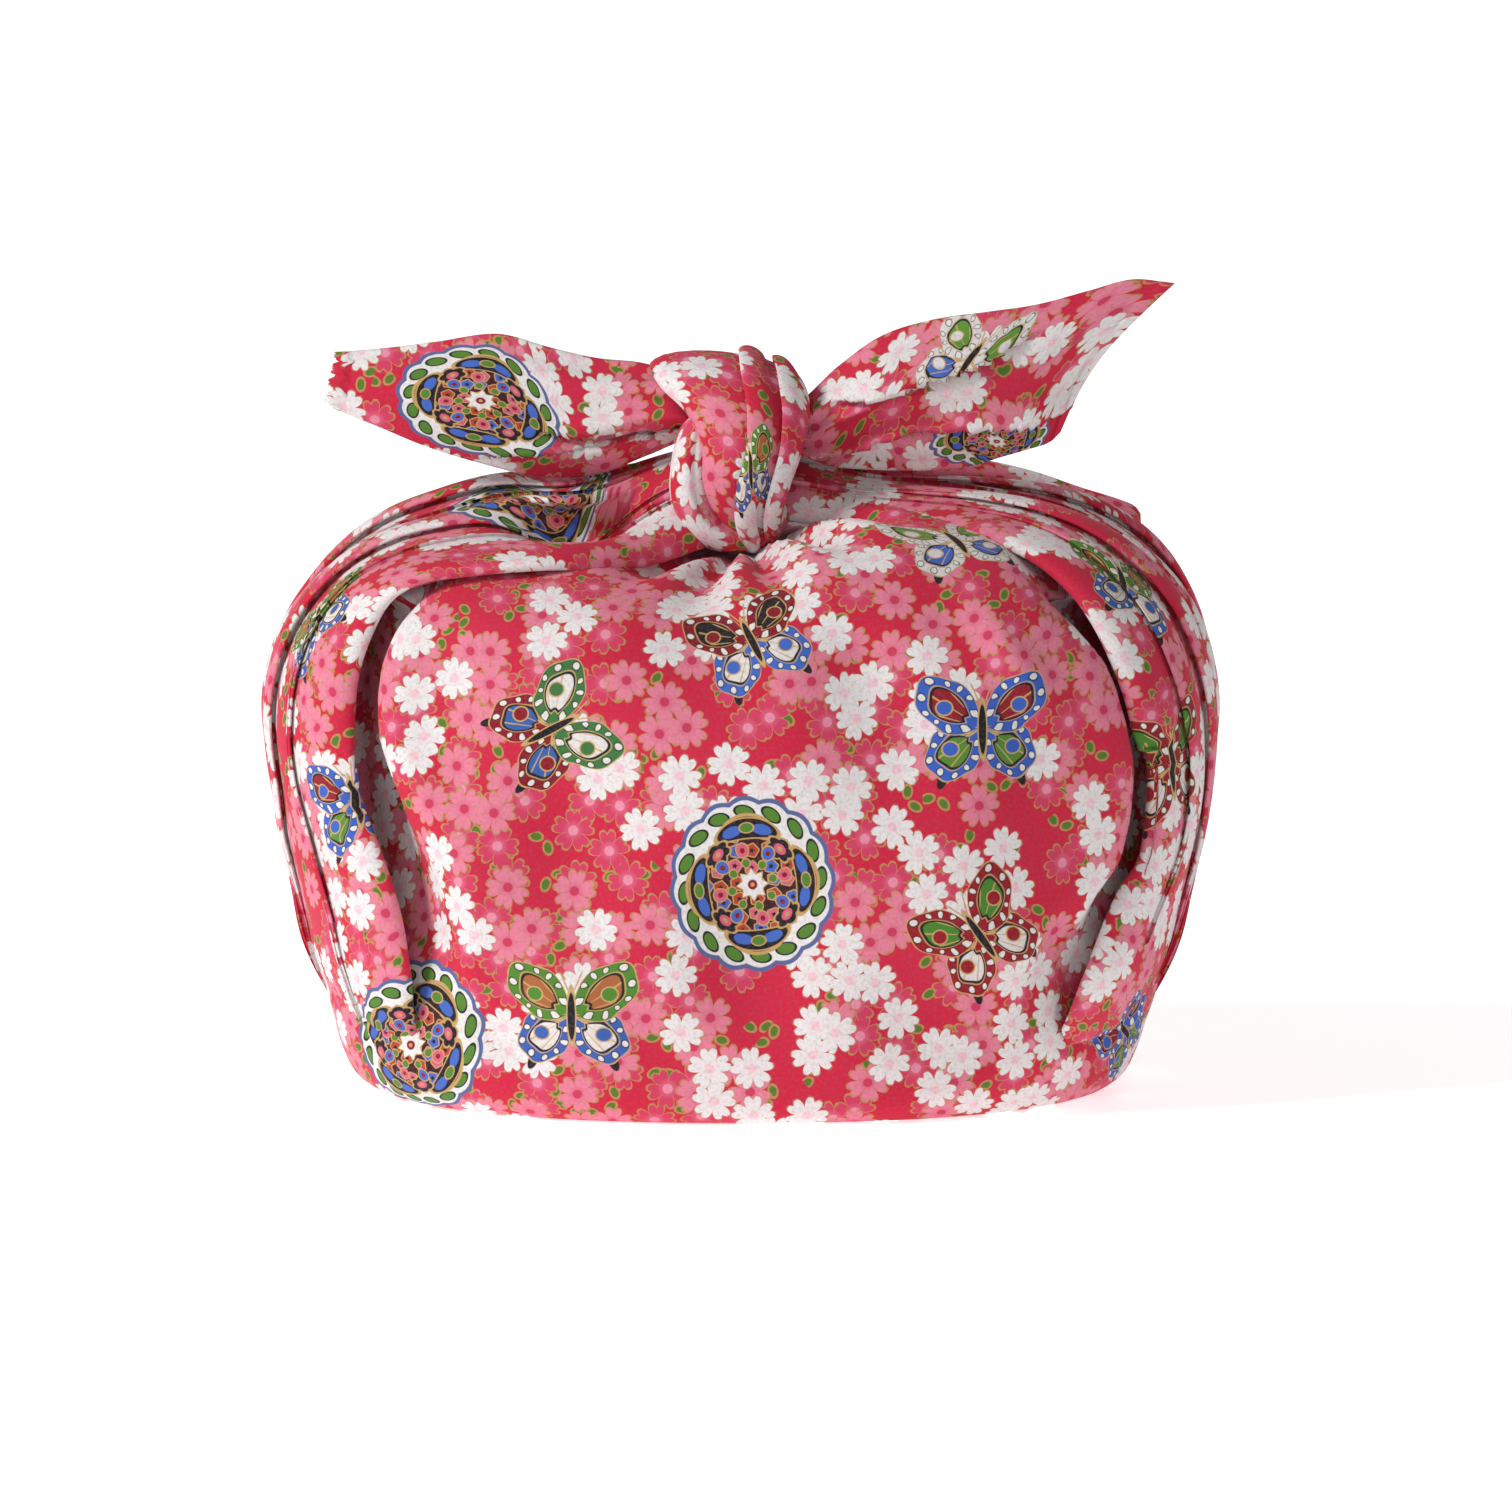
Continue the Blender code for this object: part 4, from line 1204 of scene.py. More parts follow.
@dataclass
class RoundedFold:
    """A tapering rounded fold along a path, with creases along it and closed ends.

    A crease is given as its angle round the fold and its depth.
    """

    rows: tuple
    stations: int
    around: int
    print_origin: tuple[float, float]
    creases: tuple = ((1.2, 0.8), (3.6, 0.7), (5.0, 0.6))
    motifs: list[MotifPlace] = field(default_factory=list)

    def patch(self) -> Patch:
        """The fold as one patch that closes round and shuts at both ends.

        A section is an ellipse across the path, less a narrow hump at each crease.

        Returns:
            The patch.
        """
        rows = curve_through(self.rows, self.stations, [0, 1, 2])
        path = rows[:, 0:3]
        along = unit(np.gradient(path, axis=0))
        depth = np.array((0.0, 1.0, 0.0))
        back = unit(depth - along * (along @ depth)[:, None])
        across = np.cross(along, back)
        share = np.linspace(0.0, 1.0, self.stations)
        shut = np.ones(self.stations)
        for near_end in (1.0 - share / 0.05, (share - 0.95) / 0.05):
            shut *= np.sqrt(np.clip(1.0 - np.clip(near_end, 0.0, 1.0) ** 2, 0.0, 1.0))
        angle = np.linspace(0.0, 2.0 * np.pi, self.around + 1)
        sink = np.zeros((self.stations, self.around + 1))
        for place, deep in self.creases:
            where = place + 0.35 * np.sin(4.0 * share[:, None] + place)
            gap = np.angle(np.exp(1j * (angle[None] - where)))
            sink += deep * bell(gap / 0.16)
        wide = rows[:, 3:4] * shut[:, None] - sink * shut[:, None]
        deep = rows[:, 4:5] * shut[:, None] - sink * shut[:, None]
        points = (
            path[:, None]
            + (wide * np.cos(angle))[:, :, None] * across[:, None]
            + (deep * np.sin(angle))[:, :, None] * back[:, None]
        )
        points[:, -1] = points[:, 0]
        girth = np.repeat((angle * 5.5)[None], self.stations, axis=0)
        length = np.repeat(running_length(path[:, None], 0), self.around + 1, axis=1)
        prints = np.stack([girth, length], axis=-1) + np.asarray(self.print_origin)
        patch = Patch(points, prints, self.motifs)
        normal = np.cross(np.gradient(points, axis=1), np.gradient(points, axis=0))
        if np.sum(normal * (points - path[:, None])) < 0.0:
            patch.points, patch.prints = points[:, ::-1], prints[:, ::-1]
        return patch


@dataclass
class Knot:
    """The square knot: the wrap in front, the fold under it, the fold behind, the middle."""

    middle: tuple[float, float, float] = (-1.0, -11.0, 148.0)
    core_radii: tuple[float, float, float] = (12.5, 12.5, 15.0)

    def core_patch(self) -> Patch:
        """The tight middle: an ellipsoid with a slow wave, closed at its poles.

        Returns:
            The patch.
        """
        x, y, z = self.middle
        a, b, c = self.core_radii
        lift = np.linspace(-0.5 * np.pi, 0.5 * np.pi, 31)[:, None]
        angle = np.linspace(0.0, 2.0 * np.pi, 61)[None]
        wave = 1.0 + 0.04 * np.sin(5.0 * angle) * np.cos(lift)
        points = np.stack(
            [
                x + a * wave * np.cos(lift) * np.cos(angle),
                y + b * wave * np.cos(lift) * np.sin(angle),
                z + c * np.sin(lift) + 0.0 * angle,
            ],
            axis=-1,
        )
        points[:, -1] = points[:, 0]
        prints = np.stack([13.0 * angle + 0.0 * lift, 15.0 * lift + 0.0 * angle], axis=-1)
        return faced(Patch(points, prints + CORE_PRINT), np.array((x, y, z)))

    def build(self) -> bpy.types.Object:
        """The knot's object, of four closed patches.

        Returns:
            The object.
        """
        wrap = Band(
            MAIN_WRAP_ROWS,
            pleats=((0.56, 2.3, 3.0, 0.0, 1.0, -0.5), (0.78, 2.0, 2.6, 0.0, 1.0, -0.35)),
            stations=90,
            across=130,
            print_origin=KNOT_PRINT,
            centre=self.middle,
            motifs=[MotifPlace(Motif.BUTTERFLY, 2.5, 148.0, 10.0, 0.8, 0.6, Wings.GREEN)],
        )
        lower = RoundedFold(LOWER_FOLD_ROWS, 70, 48, LOWER_FOLD_PRINT)
        behind = RoundedFold(BACK_FOLD_ROWS, 50, 40, BACK_FOLD_PRINT)
        patches = [wrap.patch(), lower.patch(), behind.patch(), self.core_patch()]
        return cloth_object("knot", patches, 0.0)


@dataclass
class ShoulderFold:
    """The rolled edge of the far corner that lies behind the right shoulder."""

    creases: tuple = ((0.9, 0.9), (2.2, 0.5), (4.6, 0.9))

    def build(self) -> bpy.types.Object:
        """The fold's object."""
        fold = RoundedFold(SHOULDER_LIP_ROWS, 70, 40, SHOULDER_PRINT, self.creases)
        return cloth_object("shoulder_fold", [fold.patch()], 0.0)


@dataclass
class Ear:
    """A free end of the cloth: a folded leaf with soft lobes, gathers and a hemmed tip."""

    name: str
    rows: tuple
    print_origin: tuple[float, float]
    print_turn: float = 0.0
    stations: int = 96
    across: int = 56
    gathers: float = 1.2
    hem: float = 3.4
    fray: float = 0.0
    creases: tuple = ()
    motifs: list[MotifPlace] = field(default_factory=list)

    def folded(self, spine: np.ndarray) -> np.ndarray:
        """How far the creases bring each point forward and down.

        A crease runs straight between two places given as (share from root to tip, share
        from lower to upper edge). Above its line the cloth hangs over and falls away
        slowly, and below the line it drops off at once.

        Args:
            spine: The leaf's middle surface (stations, across, 3).

        Returns:
            Forward and down of each point (stations, across, 2).
        """
        stations, across = spine.shape[:2]
        moved = np.zeros((stations, across, 2))
        for share_a, up_a, share_b, up_b, height, reach in self.creases:
            ends = [
                spine[round(share * (stations - 1)), round(up * (across - 1))][[0, 2]]
                for share, up in ((share_a, up_a), (share_b, up_b))
            ]
            way = ends[1] - ends[0]
            offset = spine[:, :, [0, 2]] - ends[0]
            part = offset @ way / (way @ way)
            side = (way[0] * offset[:, :, 1] - way[1] * offset[:, :, 0]) / np.hypot(*way)
            side = side * np.sign(way[0])
            inside = smooth((part + 0.3) / 0.5) * smooth((1.3 - part) / 0.5)
            above = np.exp(-np.abs(side) / reach)
            drop = -0.5 * np.exp(side / 2.5)
            hang = np.exp(-np.abs(side) / 3.0)
            moved[:, :, 0] += height * inside * np.where(side > 0.0, 0.7 * above, drop)
            moved[:, :, 1] += 0.8 * height * inside * np.where(side > 0.0, hang, 0.0)
        return moved

    def spine(self, rows: np.ndarray, u: np.ndarray, share: np.ndarray) -> np.ndarray:
        """The leaf's middle surface: lobes, gathers at the root, creases, bow and frayed tip.

        Args:
            rows: The ear's sections at each station.
            u: Share from the lower to the upper edge (1, across).
            share: Share from root to tip (stations, 1).

        Returns:
            A grid (stations, across, 3).
        """
        arch = np.sin(np.pi * u)
        flat = 0.0 * rows[:, 6]
        lobes = np.stack([flat, rows[:, 6], rows[:, 7], rows[:, 8], flat], axis=1)
        weights = bell((u[0][:, None] - np.array(LOBE_PLACES)) / np.array(LOBE_SPREADS))
        weights /= weights.sum(axis=1, keepdims=True)
        ahead = lobes @ weights.T
        ahead = ahead * np.sqrt(np.clip(arch, 0.0, 1.0))
        pull = self.gathers * (1.0 - smooth((share - 0.1) / 0.55)) * arch
        ahead = ahead + pull * np.sin(25.0 * u + 1.5 * share + 0.6)
        ahead = ahead + 0.5 * smooth(share / 0.3) * np.sin(9.0 * u - 7.0 * share + 1.0) * arch
        low, high = rows[:, None, 0:3], rows[:, None, 3:6]
        grid = low + (high - low) * u[:, :, None]
        folds = self.folded(grid)
        grid[:, :, 1] -= ahead + folds[:, :, 0]
        grid[:, :, 2] -= folds[:, :, 1]
        ragged = np.sin(23.0 * u + 1.0) + 0.6 * np.sin(47.0 * u) + 0.4 * np.sin(83.0 * u + 2.0)
        grid[:, :, 0] += self.fray * ragged * smooth((share - 0.93) / 0.07)
        grid[:, :, 0] += rows[:, 10:11] * arch
        return grid

    def skins(self) -> tuple[np.ndarray, np.ndarray]:
        """Front and back skins, which meet at the root and at the tip.

        Half the thickness is the gathers', thinner at the edges, with the hem's step and
        its stitched groove before the tip.

        Returns:
            Two grids (stations + 2, across, 3).
        """
        rows = curve_through(self.rows, self.stations, [0, 1, 2, 3, 4, 5])
        u = np.linspace(0.0, 1.0, self.across)[None, :]
        share = np.linspace(0.0, 1.0, self.stations)[:, None]
        middle = self.spine(rows, u, share)
        left = running_length(middle, 0)
        from_tip = left[-1:] - left
        groove = 0.25 * bell((from_tip - self.hem - 0.3) / 0.35)
        hem = 0.45 * smooth((self.hem - from_tip) / 0.5) - groove
        arch = np.sqrt(np.clip(np.sin(np.pi * u), 0.0, 1.0))
        half = 0.5 * rows[:, 9:10] * (0.35 + 0.65 * arch)
        half = half * 0.8 + np.where(share > 0.5, hem, 0.0)
        front, back = middle.copy(), middle.copy()
        front[:, :, 1] -= half
        back[:, :, 1] += half
        root = 0.5 * (front[:1] + back[:1])
        tip = 0.5 * (front[-1:] + back[-1:])
        front, back = (np.concatenate([root, skin, tip], axis=0) for skin in (front, back))
        return front, back

    def prints(self, front: np.ndarray) -> np.ndarray:
        """The front skin's place in the print, turned as the cloth lies there.

        Args:
            front: The front skin.

        Returns:
            Places (stations + 2, across, 2).
        """
        width = running_length(front, 1)
        width = width - 0.5 * width[:, -1:]
        along = running_length(front, 0)[:, self.across // 2]
        along = np.repeat(along[:, None], self.across, axis=1) * np.sign(self.rows[-1][0])
        c, s = np.cos(np.radians(self.print_turn)), np.sin(np.radians(self.print_turn))
        turned = np.stack([c * along - s * width, s * along + c * width], axis=-1)
        return turned + np.asarray(self.print_origin)

    def build(self) -> bpy.types.Object:
        """The ear's object: front, back and both long edges in one closed skin.

        Returns:
            The object.
        """
        front, back = self.skins()
        prints = self.prints(front)
        patches = [
            Patch(front, prints, self.motifs),
            Patch(back, prints + EAR_BACK_SHIFT),
        ]
        for edge, step in ((0, -1.0), (-1, 1.0)):
            rim = np.stack([front[:, edge], back[:, edge]], axis=1)
            rim_print = np.stack([prints[:, edge], prints[:, edge] + step], axis=1)
            patches.append(Patch(rim, rim_print))
        piece = cloth_object(self.name, patches, 0.0)
        work = bmesh.new()
        work.from_mesh(piece.data)
        bmesh.ops.recalc_face_normals(work, faces=work.faces)
        if work.calc_volume(signed=True) < 0.0:
            bmesh.ops.reverse_faces(work, faces=work.faces)
        work.to_mesh(piece.data)
        work.free()
        return piece


def math_method(operation: str, turned: bool = False) -> "Callable[..., Wire]":
    """A method of a wire that adds one Math node.

    Args:
        operation: The node's operation.
        turned: True if the method's own wire comes second.

    Returns:
        The method.
    """

    def method(wire: "Wire", *others: "Wire | float") -> "Wire":
        """The Math node's result."""
        values = (*others, wire) if turned else (wire, *others)
        return wire.ink.math(operation, *values)

    return method


class Wire:
    """A socket of the print's node tree that takes part in Python expressions.

    least and most give the smaller and the larger of two, and over gives 1 where the wire is
    larger than the other value, else 0.
    """

    def __init__(self, ink: "PrintInk", socket: bpy.types.NodeSocket) -> None:
        """Keep the socket and the tree that it belongs to."""
        self.ink = ink
        self.socket = socket

    __add__ = math_method("ADD")
    __radd__ = math_method("ADD", turned=True)
    __sub__ = math_method("SUBTRACT")
    __rsub__ = math_method("SUBTRACT", turned=True)
    __mul__ = math_method("MULTIPLY")
    __rmul__ = math_method("MULTIPLY", turned=True)
    __truediv__ = math_method("DIVIDE")
    abs = math_method("ABSOLUTE")
    fract = math_method("FRACT")
    sqrt = math_method("SQRT")
    sin = math_method("SINE")
    cos = math_method("COSINE")
    least = math_method("MINIMUM")
    most = math_method("MAXIMUM")
    over = math_method("GREATER_THAN")

    def held(self) -> "Wire":
        """Clamped between 0 and 1."""
        return self.ink.math("ADD", self, 0.0, clamp=True)


Value = Wire | float
Tone = Wire | tuple[float, float, float, float]
TURN = 2.0 * np.pi


@dataclass(frozen=True)
class BlossomLayer:
    """One layer of printed cherry blossoms.

    Attributes:
        cell: Spacing of the blossoms in millimetres.
        radius: Blossom radius in millimetres.
        shift: Shift of the layer in the print.
        threshold: How high the cluster noise must be for a blossom to be printed.
        petal: Petal colour, 0 to 255.
        heart: Colour of the blossom's middle.
        heart_radius: Radius of the middle.
        outline: Strength of the gold line round it.
    """

    cell: float
    radius: float
    shift: tuple[float, float]
    threshold: float
    petal: tuple[int, int, int]
    heart: tuple[int, int, int]
    heart_radius: float
    outline: float


@dataclass(frozen=True)
class PrintedCotton:
    """The finish of the cloth: its print's colours and layers, and its roughness."""

    ground: tuple[int, int, int] = (199, 29, 61)
    gold: tuple[int, int, int] = (180, 138, 84)
    cloud: tuple[int, int, int] = (204, 44, 78)
    mottle: tuple[int, int, int] = (110, 92, 96)
    leaf: tuple[int, int, int] = (84, 118, 38)
    leaf_cell: float = 9.0
    leaf_shift: tuple[float, float, float] = (12.0, 44.0, 0.0)
    roughness: float = 0.82
    blossoms: tuple[BlossomLayer, ...] = (
        BlossomLayer(9.4, 4.7, (31.0, 7.0), 0.42, (204, 58, 92), (224, 138, 160), 1.15, 0.9),
        BlossomLayer(9.4, 4.8, (3.0, 57.0), 0.49, (220, 124, 146), (198, 54, 88), 1.1, 0.8),
        BlossomLayer(9.8, 5.0, (67.0, 21.0), 0.51, (224, 219, 218), (232, 192, 201), 1.1, 0.35),
    )


class Enamel(Enum):
    """Colours of the medallions, 0 to 255."""

    BLACK = (26, 24, 28)
    WHITE = (222, 218, 216)
    RED = (132, 20, 36)
    BLUE = (64, 100, 186)
    GREEN = (80, 126, 42)
    SLATE = (84, 98, 146)
    PINK = (206, 92, 118)
    GOLD = (190, 152, 96)
    RUST = (176, 62, 40)
    MAROON = (58, 22, 28)

    @property
    def tone(self) -> tuple[float, float, float, float]:
        """The colour in linear light."""
        return linear(self.value)


class PrintInk:
    """Builds the printed cotton's node tree."""

    def __init__(self, name: str, finish: PrintedCotton) -> None:
        """Start an empty material.

        Args:
            name: The material's name.
            finish: Its colours and sizes.
        """
        self.finish = finish
        self.material = bpy.data.materials.new(name)
        self.material.use_nodes = True
        self.tree = self.material.node_tree
        self.tree.nodes.clear()

    def node(self, kind: str, settings: dict, inputs: dict) -> bpy.types.Node:
        """Add a node.

        Args:
            kind: The node's type.
            settings: Its properties.
            inputs: Values or wires of its sockets, by name or number.

        Returns:
            The node.
        """
        node = self.tree.nodes.new(kind)
        for key, value in settings.items():
            setattr(node, key, value)
        for key, value in inputs.items():
            if isinstance(value, Wire):
                self.tree.links.new(value.socket, node.inputs[key])
            else:
                node.inputs[key].default_value = value
        return node

    def math(self, operation: str, *values: Value, clamp: bool = False) -> Wire:
        """Add a Math node.

        Args:
            operation: What it does.
            values: Its inputs.
            clamp: True to clamp the result between 0 and 1.

        Returns:
            Its result.
        """
        settings = {"operation": operation, "use_clamp": clamp}
        node = self.node("ShaderNodeMath", settings, dict(enumerate(values)))
        return Wire(self, node.outputs[0])

    def vector(self, operation: str, *values: "Wire | tuple", out: int = 0) -> Wire:
        """A Vector Math node's result."""
        node = self.node("ShaderNodeVectorMath", {"operation": operation}, dict(enumerate(values)))
        return Wire(self, node.outputs[out])

    def split(self, vector: Wire) -> list[Wire]:
        """The three numbers of a vector."""
        node = self.node("ShaderNodeSeparateXYZ", {}, {0: vector})
        return [Wire(self, socket) for socket in node.outputs]

    def mix(self, share: Value, first: Tone, second: Tone) -> Wire:
        """Blend two colours.

        Args:
            share: The second colour's share, 0 to 1.
            first: The first colour.
            second: The second colour.

        Returns:
            The blend.
        """
        settings = {"data_type": "RGBA", "clamp_factor": True}
        node = self.node("ShaderNodeMix", settings, {0: share, 6: first, 7: second})
        return Wire(self, node.outputs[2])

    def coated(self, below: Tone, *coats: tuple[Wire, float, Tone]) -> Wire:
        """Colours laid one on another, each where its depth is above 0, with a soft edge.

        Args:
            below: The colour at the start.
            coats: Depth, width of the soft edge and colour of each coat.

        Returns:
            The colour.
        """
        for depth, soft, tone in coats:
            below = self.mix((depth / soft).held(), below, tone)
        return below

    def attribute(self, name: str, out: str) -> Wire:
        """A mesh attribute."""
        node = self.node("ShaderNodeAttribute", {"attribute_name": name}, {})
        return Wire(self, node.outputs[out])

    def uv(self, name: str) -> Wire:
        """A UV map's vector in millimetres."""
        node = self.node("ShaderNodeUVMap", {"uv_map": name}, {})
        return self.vector("MULTIPLY", Wire(self, node.outputs[0]), (1000.0, 1000.0, 0.0))

    def noise(self, vector: Wire, size: float, detail: float = 0.0) -> Wire:
        """Noise round 0.5.

        Args:
            vector: Place in the print.
            size: Size of its lumps in millimetres.
            detail: How many finer noises are added.

        Returns:
            The noise.
        """
        settings = {"noise_dimensions": "2D"}
        inputs = {"Vector": vector, "Scale": 1.0 / size, "Detail": detail, "Roughness": 0.5}
        node = self.node("ShaderNodeTexNoise", settings, inputs)
        return Wire(self, node.outputs[0])

    def scattered(
        self, vector: Wire, cell: float, randomness: float, which: str = "F1"
    ) -> tuple[Wire, Wire, Wire]:
        """The nearest (F1) or next (F2) spot of a jittered grid.

        Args:
            vector: Place in the print.
            cell: Spacing of the spots in millimetres.
            randomness: How far the spots stray, 0 to 1.
            which: F1 or F2.

        Returns:
            Place from the spot, the spot's own place, its random colour.
        """
        settings = {"voronoi_dimensions": "2D", "feature": which}
        inputs = {"Vector": vector, "Scale": 1.0 / cell, "Randomness": randomness}
        node = self.node("ShaderNodeTexVoronoi", settings, inputs)
        spot = Wire(self, node.outputs["Position"])
        return self.vector("SUBTRACT", vector, spot), spot, Wire(self, node.outputs["Color"])

    def ellipse(
        self, x: Value, y: Value, cx: float, cy: float, a: float, b: float, turn: float = 0.0
    ) -> Wire:
        """How far out a point is in a turned ellipse.

        Args:
            x: The point's place across.
            y: Its place up.
            cx: The middle of the ellipse across.
            cy: The middle up.
            a: Its half length.
            b: Its half width.
            turn: Its turn in degrees.

        Returns:
            0 in the middle and 1 on the edge.
        """
        c, s = float(np.cos(np.radians(turn))), float(np.sin(np.radians(turn)))
        u = ((x - cx) * (c / a)) + ((y - cy) * (s / a))
        v = ((y - cy) * (c / b)) - ((x - cx) * (s / b))
        return (u * u + v * v).sqrt()

    def blossoms(self, vector: Wire, layer: BlossomLayer, which: str, below: Wire) -> Wire:
        """Cherry blossoms printed over what lies below.

        A petal's edge lies at the radius less a notch at the petal's middle and less a
        deeper cleft between two petals. The line round it is gold.

        Args:
            vector: Place in the print.
            layer: The layer.
            which: F1 for the nearest blossom, F2 for the next one, which lies under it.
            below: The colour under it.

        Returns:
            The colour.
        """
        moved = self.vector("ADD", vector, (*layer.shift, 0.0))
        local, spot, chance = self.scattered(moved, layer.cell, 0.66, which)
        x, y, _ = self.split(local)
        one, two, _ = self.split(chance)
        far = (x * x + y * y).sqrt()
        turn = self.math("ARCTAN2", y, x) * (5.0 / TURN) + one * 1.0
        petal = (turn.fract() - 0.5).abs() * 2.0
        notch = (1.0 - petal / 0.24).held() * 0.19
        cleft = ((petal - 0.46) / 0.54).held()
        edge = (1.0 - notch - cleft * cleft * 0.50) * layer.radius
        inside = edge - far
        cluster = self.noise(spot, 24.0) + (two - 0.5) * 0.2
        shown = cluster.over(layer.threshold)
        heart = linear(layer.heart)
        shade = ((layer.heart_radius * 2.2 - far) / 2.2).held() * 0.5
        vein = (1.0 - (petal - 1.0).abs() / 0.2).held() * ((3.2 - far) / 1.0).held() * 0.4
        body = self.mix(shade.most(vein), linear(layer.petal), heart)
        body = self.mix(((layer.heart_radius - far) / 0.2 + 0.5).held(), body, heart)
        line = ((0.30 - (inside + 0.1).abs()) / 0.12).held() * shown * layer.outline
        inked = self.mix((inside / 0.12 + 0.5).held() * shown, below, body)
        return self.mix(line, inked, linear(self.finish.gold))

    def leaves(self, vector: Wire, below: Wire) -> Wire:
        """Pairs of small leaves with gold edges between the blossoms.

        Args:
            vector: Place in the print.
            below: The colour under them.

        Returns:
            The colour.
        """
        moved = self.vector("ADD", vector, self.finish.leaf_shift)
        local, _, chance = self.scattered(moved, self.finish.leaf_cell, 0.8)
        x, y, _ = self.split(local)
        one, two, _ = self.split(chance)
        angle = one * 6.283
        c, s = angle.cos(), angle.sin()
        u = (x * c + y * s).abs()
        v = y * c - x * s
        far = self.ellipse(u, v, 1.9, 0.6, 1.55, 1.05, 34.0)
        shown = two.over(0.35)
        fill = ((0.92 - far) / 0.15).held() * shown
        line = ((0.25 - (far - 1.0).abs()) / 0.12).held() * shown
        green = self.mix(fill, below, linear(self.finish.leaf))
        return self.mix(line, green, linear(self.finish.gold))

    def butterfly(self, x: Wire, y: Wire, below: Wire) -> Wire:
        """A butterfly with open wings, mirrored about its body.

        Each wing is an ellipse with a scalloped edge, a border with a row of pale dots,
        an eye spot and gold lines. The wings' colours are the face's own attributes.

        Args:
            x: Place across from its middle.
            y: Place up from its middle.
            below: The colour under it.

        Returns:
            The colour.
        """
        gold, black, pale = (linear(c) for c in ((196, 160, 104), (26, 24, 26), (222, 216, 210)))
        side = x.abs()
        around = self.math("ARCTAN2", y, side)
        scallop = (around * 15.0).sin() * 0.045
        veins = ((around * 11.0).sin().abs() - 0.25) * -8.0
        wings, colour = [], black
        for name, cx, cy, a, b, turn in (
            ("hind", 6.2, -4.8, 6.9, 5.6, -44.0),
            ("fore", 7.4, 4.9, 8.2, 5.4, 38.0),
        ):
            tone, heart = (self.attribute(f"{name}_{part}", "Color") for part in ("tone", "heart"))
            wing = self.ellipse(side, y, cx, cy, a, b, turn) + scallop
            place = self.math("ARCTAN2", y - cy, side - cx) * (10.0 / TURN)
            pearl = self.ellipse(place.fract() - 0.5, wing, 0.0, 0.80, 0.24, 0.13)
            eye = self.ellipse(side, y, cx + 0.8, cy * 0.9, 1.7, 1.5)
            face = self.coated(tone, (0.60 - wing, 0.03, black), (0.52 - wing, 0.03, heart))
            face = self.mix(veins.held() * ((0.52 - wing) / 0.03).held() * 0.9, face, gold)
            face = self.mix((1.0 - (wing - 0.61).abs() / 0.035).held(), face, gold)
            face = self.mix(((1.2 - pearl) / 0.2).held() * 0.8, face, black)
            face = self.coated(
                face,
                (0.9 - pearl, 0.2, pale),
                (1.2 - eye, 0.1, gold),
                (1.0 - eye, 0.1, tone),
                (wing - 0.94, 0.02, gold),
            )
            colour = self.coated(colour, (1.01 - wing, 0.02, face))
            wings.append(wing)
        tail = self.ellipse(side, y, 8.8, -10.6, 1.1, 2.4, 22.0)
        body = self.ellipse(side, y, 0.0, -0.4, 0.9, 5.6)
        colour = self.coated(colour, (1.3 - body, 0.1, gold), (1.0 - body, 0.1, black))
        feeler = (side - (y - 4.5) * 0.42 - 0.3).abs()
        feelers = ((0.22 - feeler) / 0.1).held() * (y - 4.8).held() * (9.8 - y).held()
        colour = self.mix(feelers, colour, gold)
        cover = ((1.0 - wings[0].least(wings[1])) / 0.03).held().most(((1.0 - tail) / 0.1).held())
        cover = cover.most(((1.3 - body) / 0.1).held()).most(feelers)
        return self.mix(cover, below, colour)

    def florets(self, x: Wire, y: Wire) -> Wire:
        """The small flowers that fill a medallion's middle.

        Args:
            x: Place across from the medallion's middle.
            y: Place up from it.

        Returns:
            The colour.
        """
        place = self.node("ShaderNodeCombineXYZ", {}, {0: x, 1: y})
        local, _, chance = self.scattered(Wire(self, place.outputs[0]), 3.9, 0.3)
        small_x, small_y, _ = self.split(local)
        pick = self.split(chance)[0]
        lobes = (self.math("ARCTAN2", small_y, small_x) * 2.5).sin().abs() * 0.3
        small = (small_x * small_x + small_y * small_y).sqrt() + lobes
        cool = self.mix(pick.over(0.6), Enamel.RUST.tone, Enamel.BLUE.tone)
        petal = self.mix(pick.over(0.35), Enamel.PINK.tone, cool)
        return self.coated(
            Enamel.MAROON.tone,
            (1.95 - small, 0.12, Enamel.GOLD.tone),
            (1.65 - small, 0.12, petal),
            (0.75 - small, 0.12, Enamel.BLACK.tone),
        )

    def medallion(self, x: Wire, y: Wire, below: Wire) -> Wire:
        """An oval of flowers: a scalloped rim, a ring of leaves and a rosette within.

        Its shapes are laid by their turn round the middle and their distance out.

        Args:
            x: Place across from its middle.
            y: Place up from its middle.
            below: The colour under it.

        Returns:
            The colour.
        """
        black, white, slate = Enamel.BLACK.tone, Enamel.WHITE.tone, Enamel.SLATE.tone
        red, blue, green = Enamel.RED.tone, Enamel.BLUE.tone, Enamel.GREEN.tone
        pink, gold = Enamel.PINK.tone, Enamel.GOLD.tone
        across, up = x / 18.2, y / 20.2
        far = (across * across + up * up).sqrt()
        way = self.math("ARCTAN2", up, across)
        out = far * 20.0
        step = (way * (16.0 / TURN) + 0.5).fract() - 0.5
        quarter = (way * (4.0 / TURN) + 0.5).fract() - 0.5
        corner = (way * (4.0 / TURN)).fract() - 0.5
        ring = (way * (8.0 / TURN) + 0.25).fract() - 0.5
        rim = far - (way * 8.0).cos().abs() * 0.05
        inner = 0.81 - (quarter * quarter) * 1.0 - far
        tooth = 0.69 - (way * 12.0).sin().abs() * 0.05 - far
        star = 3.9 - (way * 4.0).sin().abs() * 1.2 - out
        leaf = self.ellipse(step * 6.2, out, 0.0, 17.2, 2.2, 1.3, 20.0)
        lens = self.ellipse(quarter * 12.0, out, 0.0, 13.4, 4.6, 2.3)
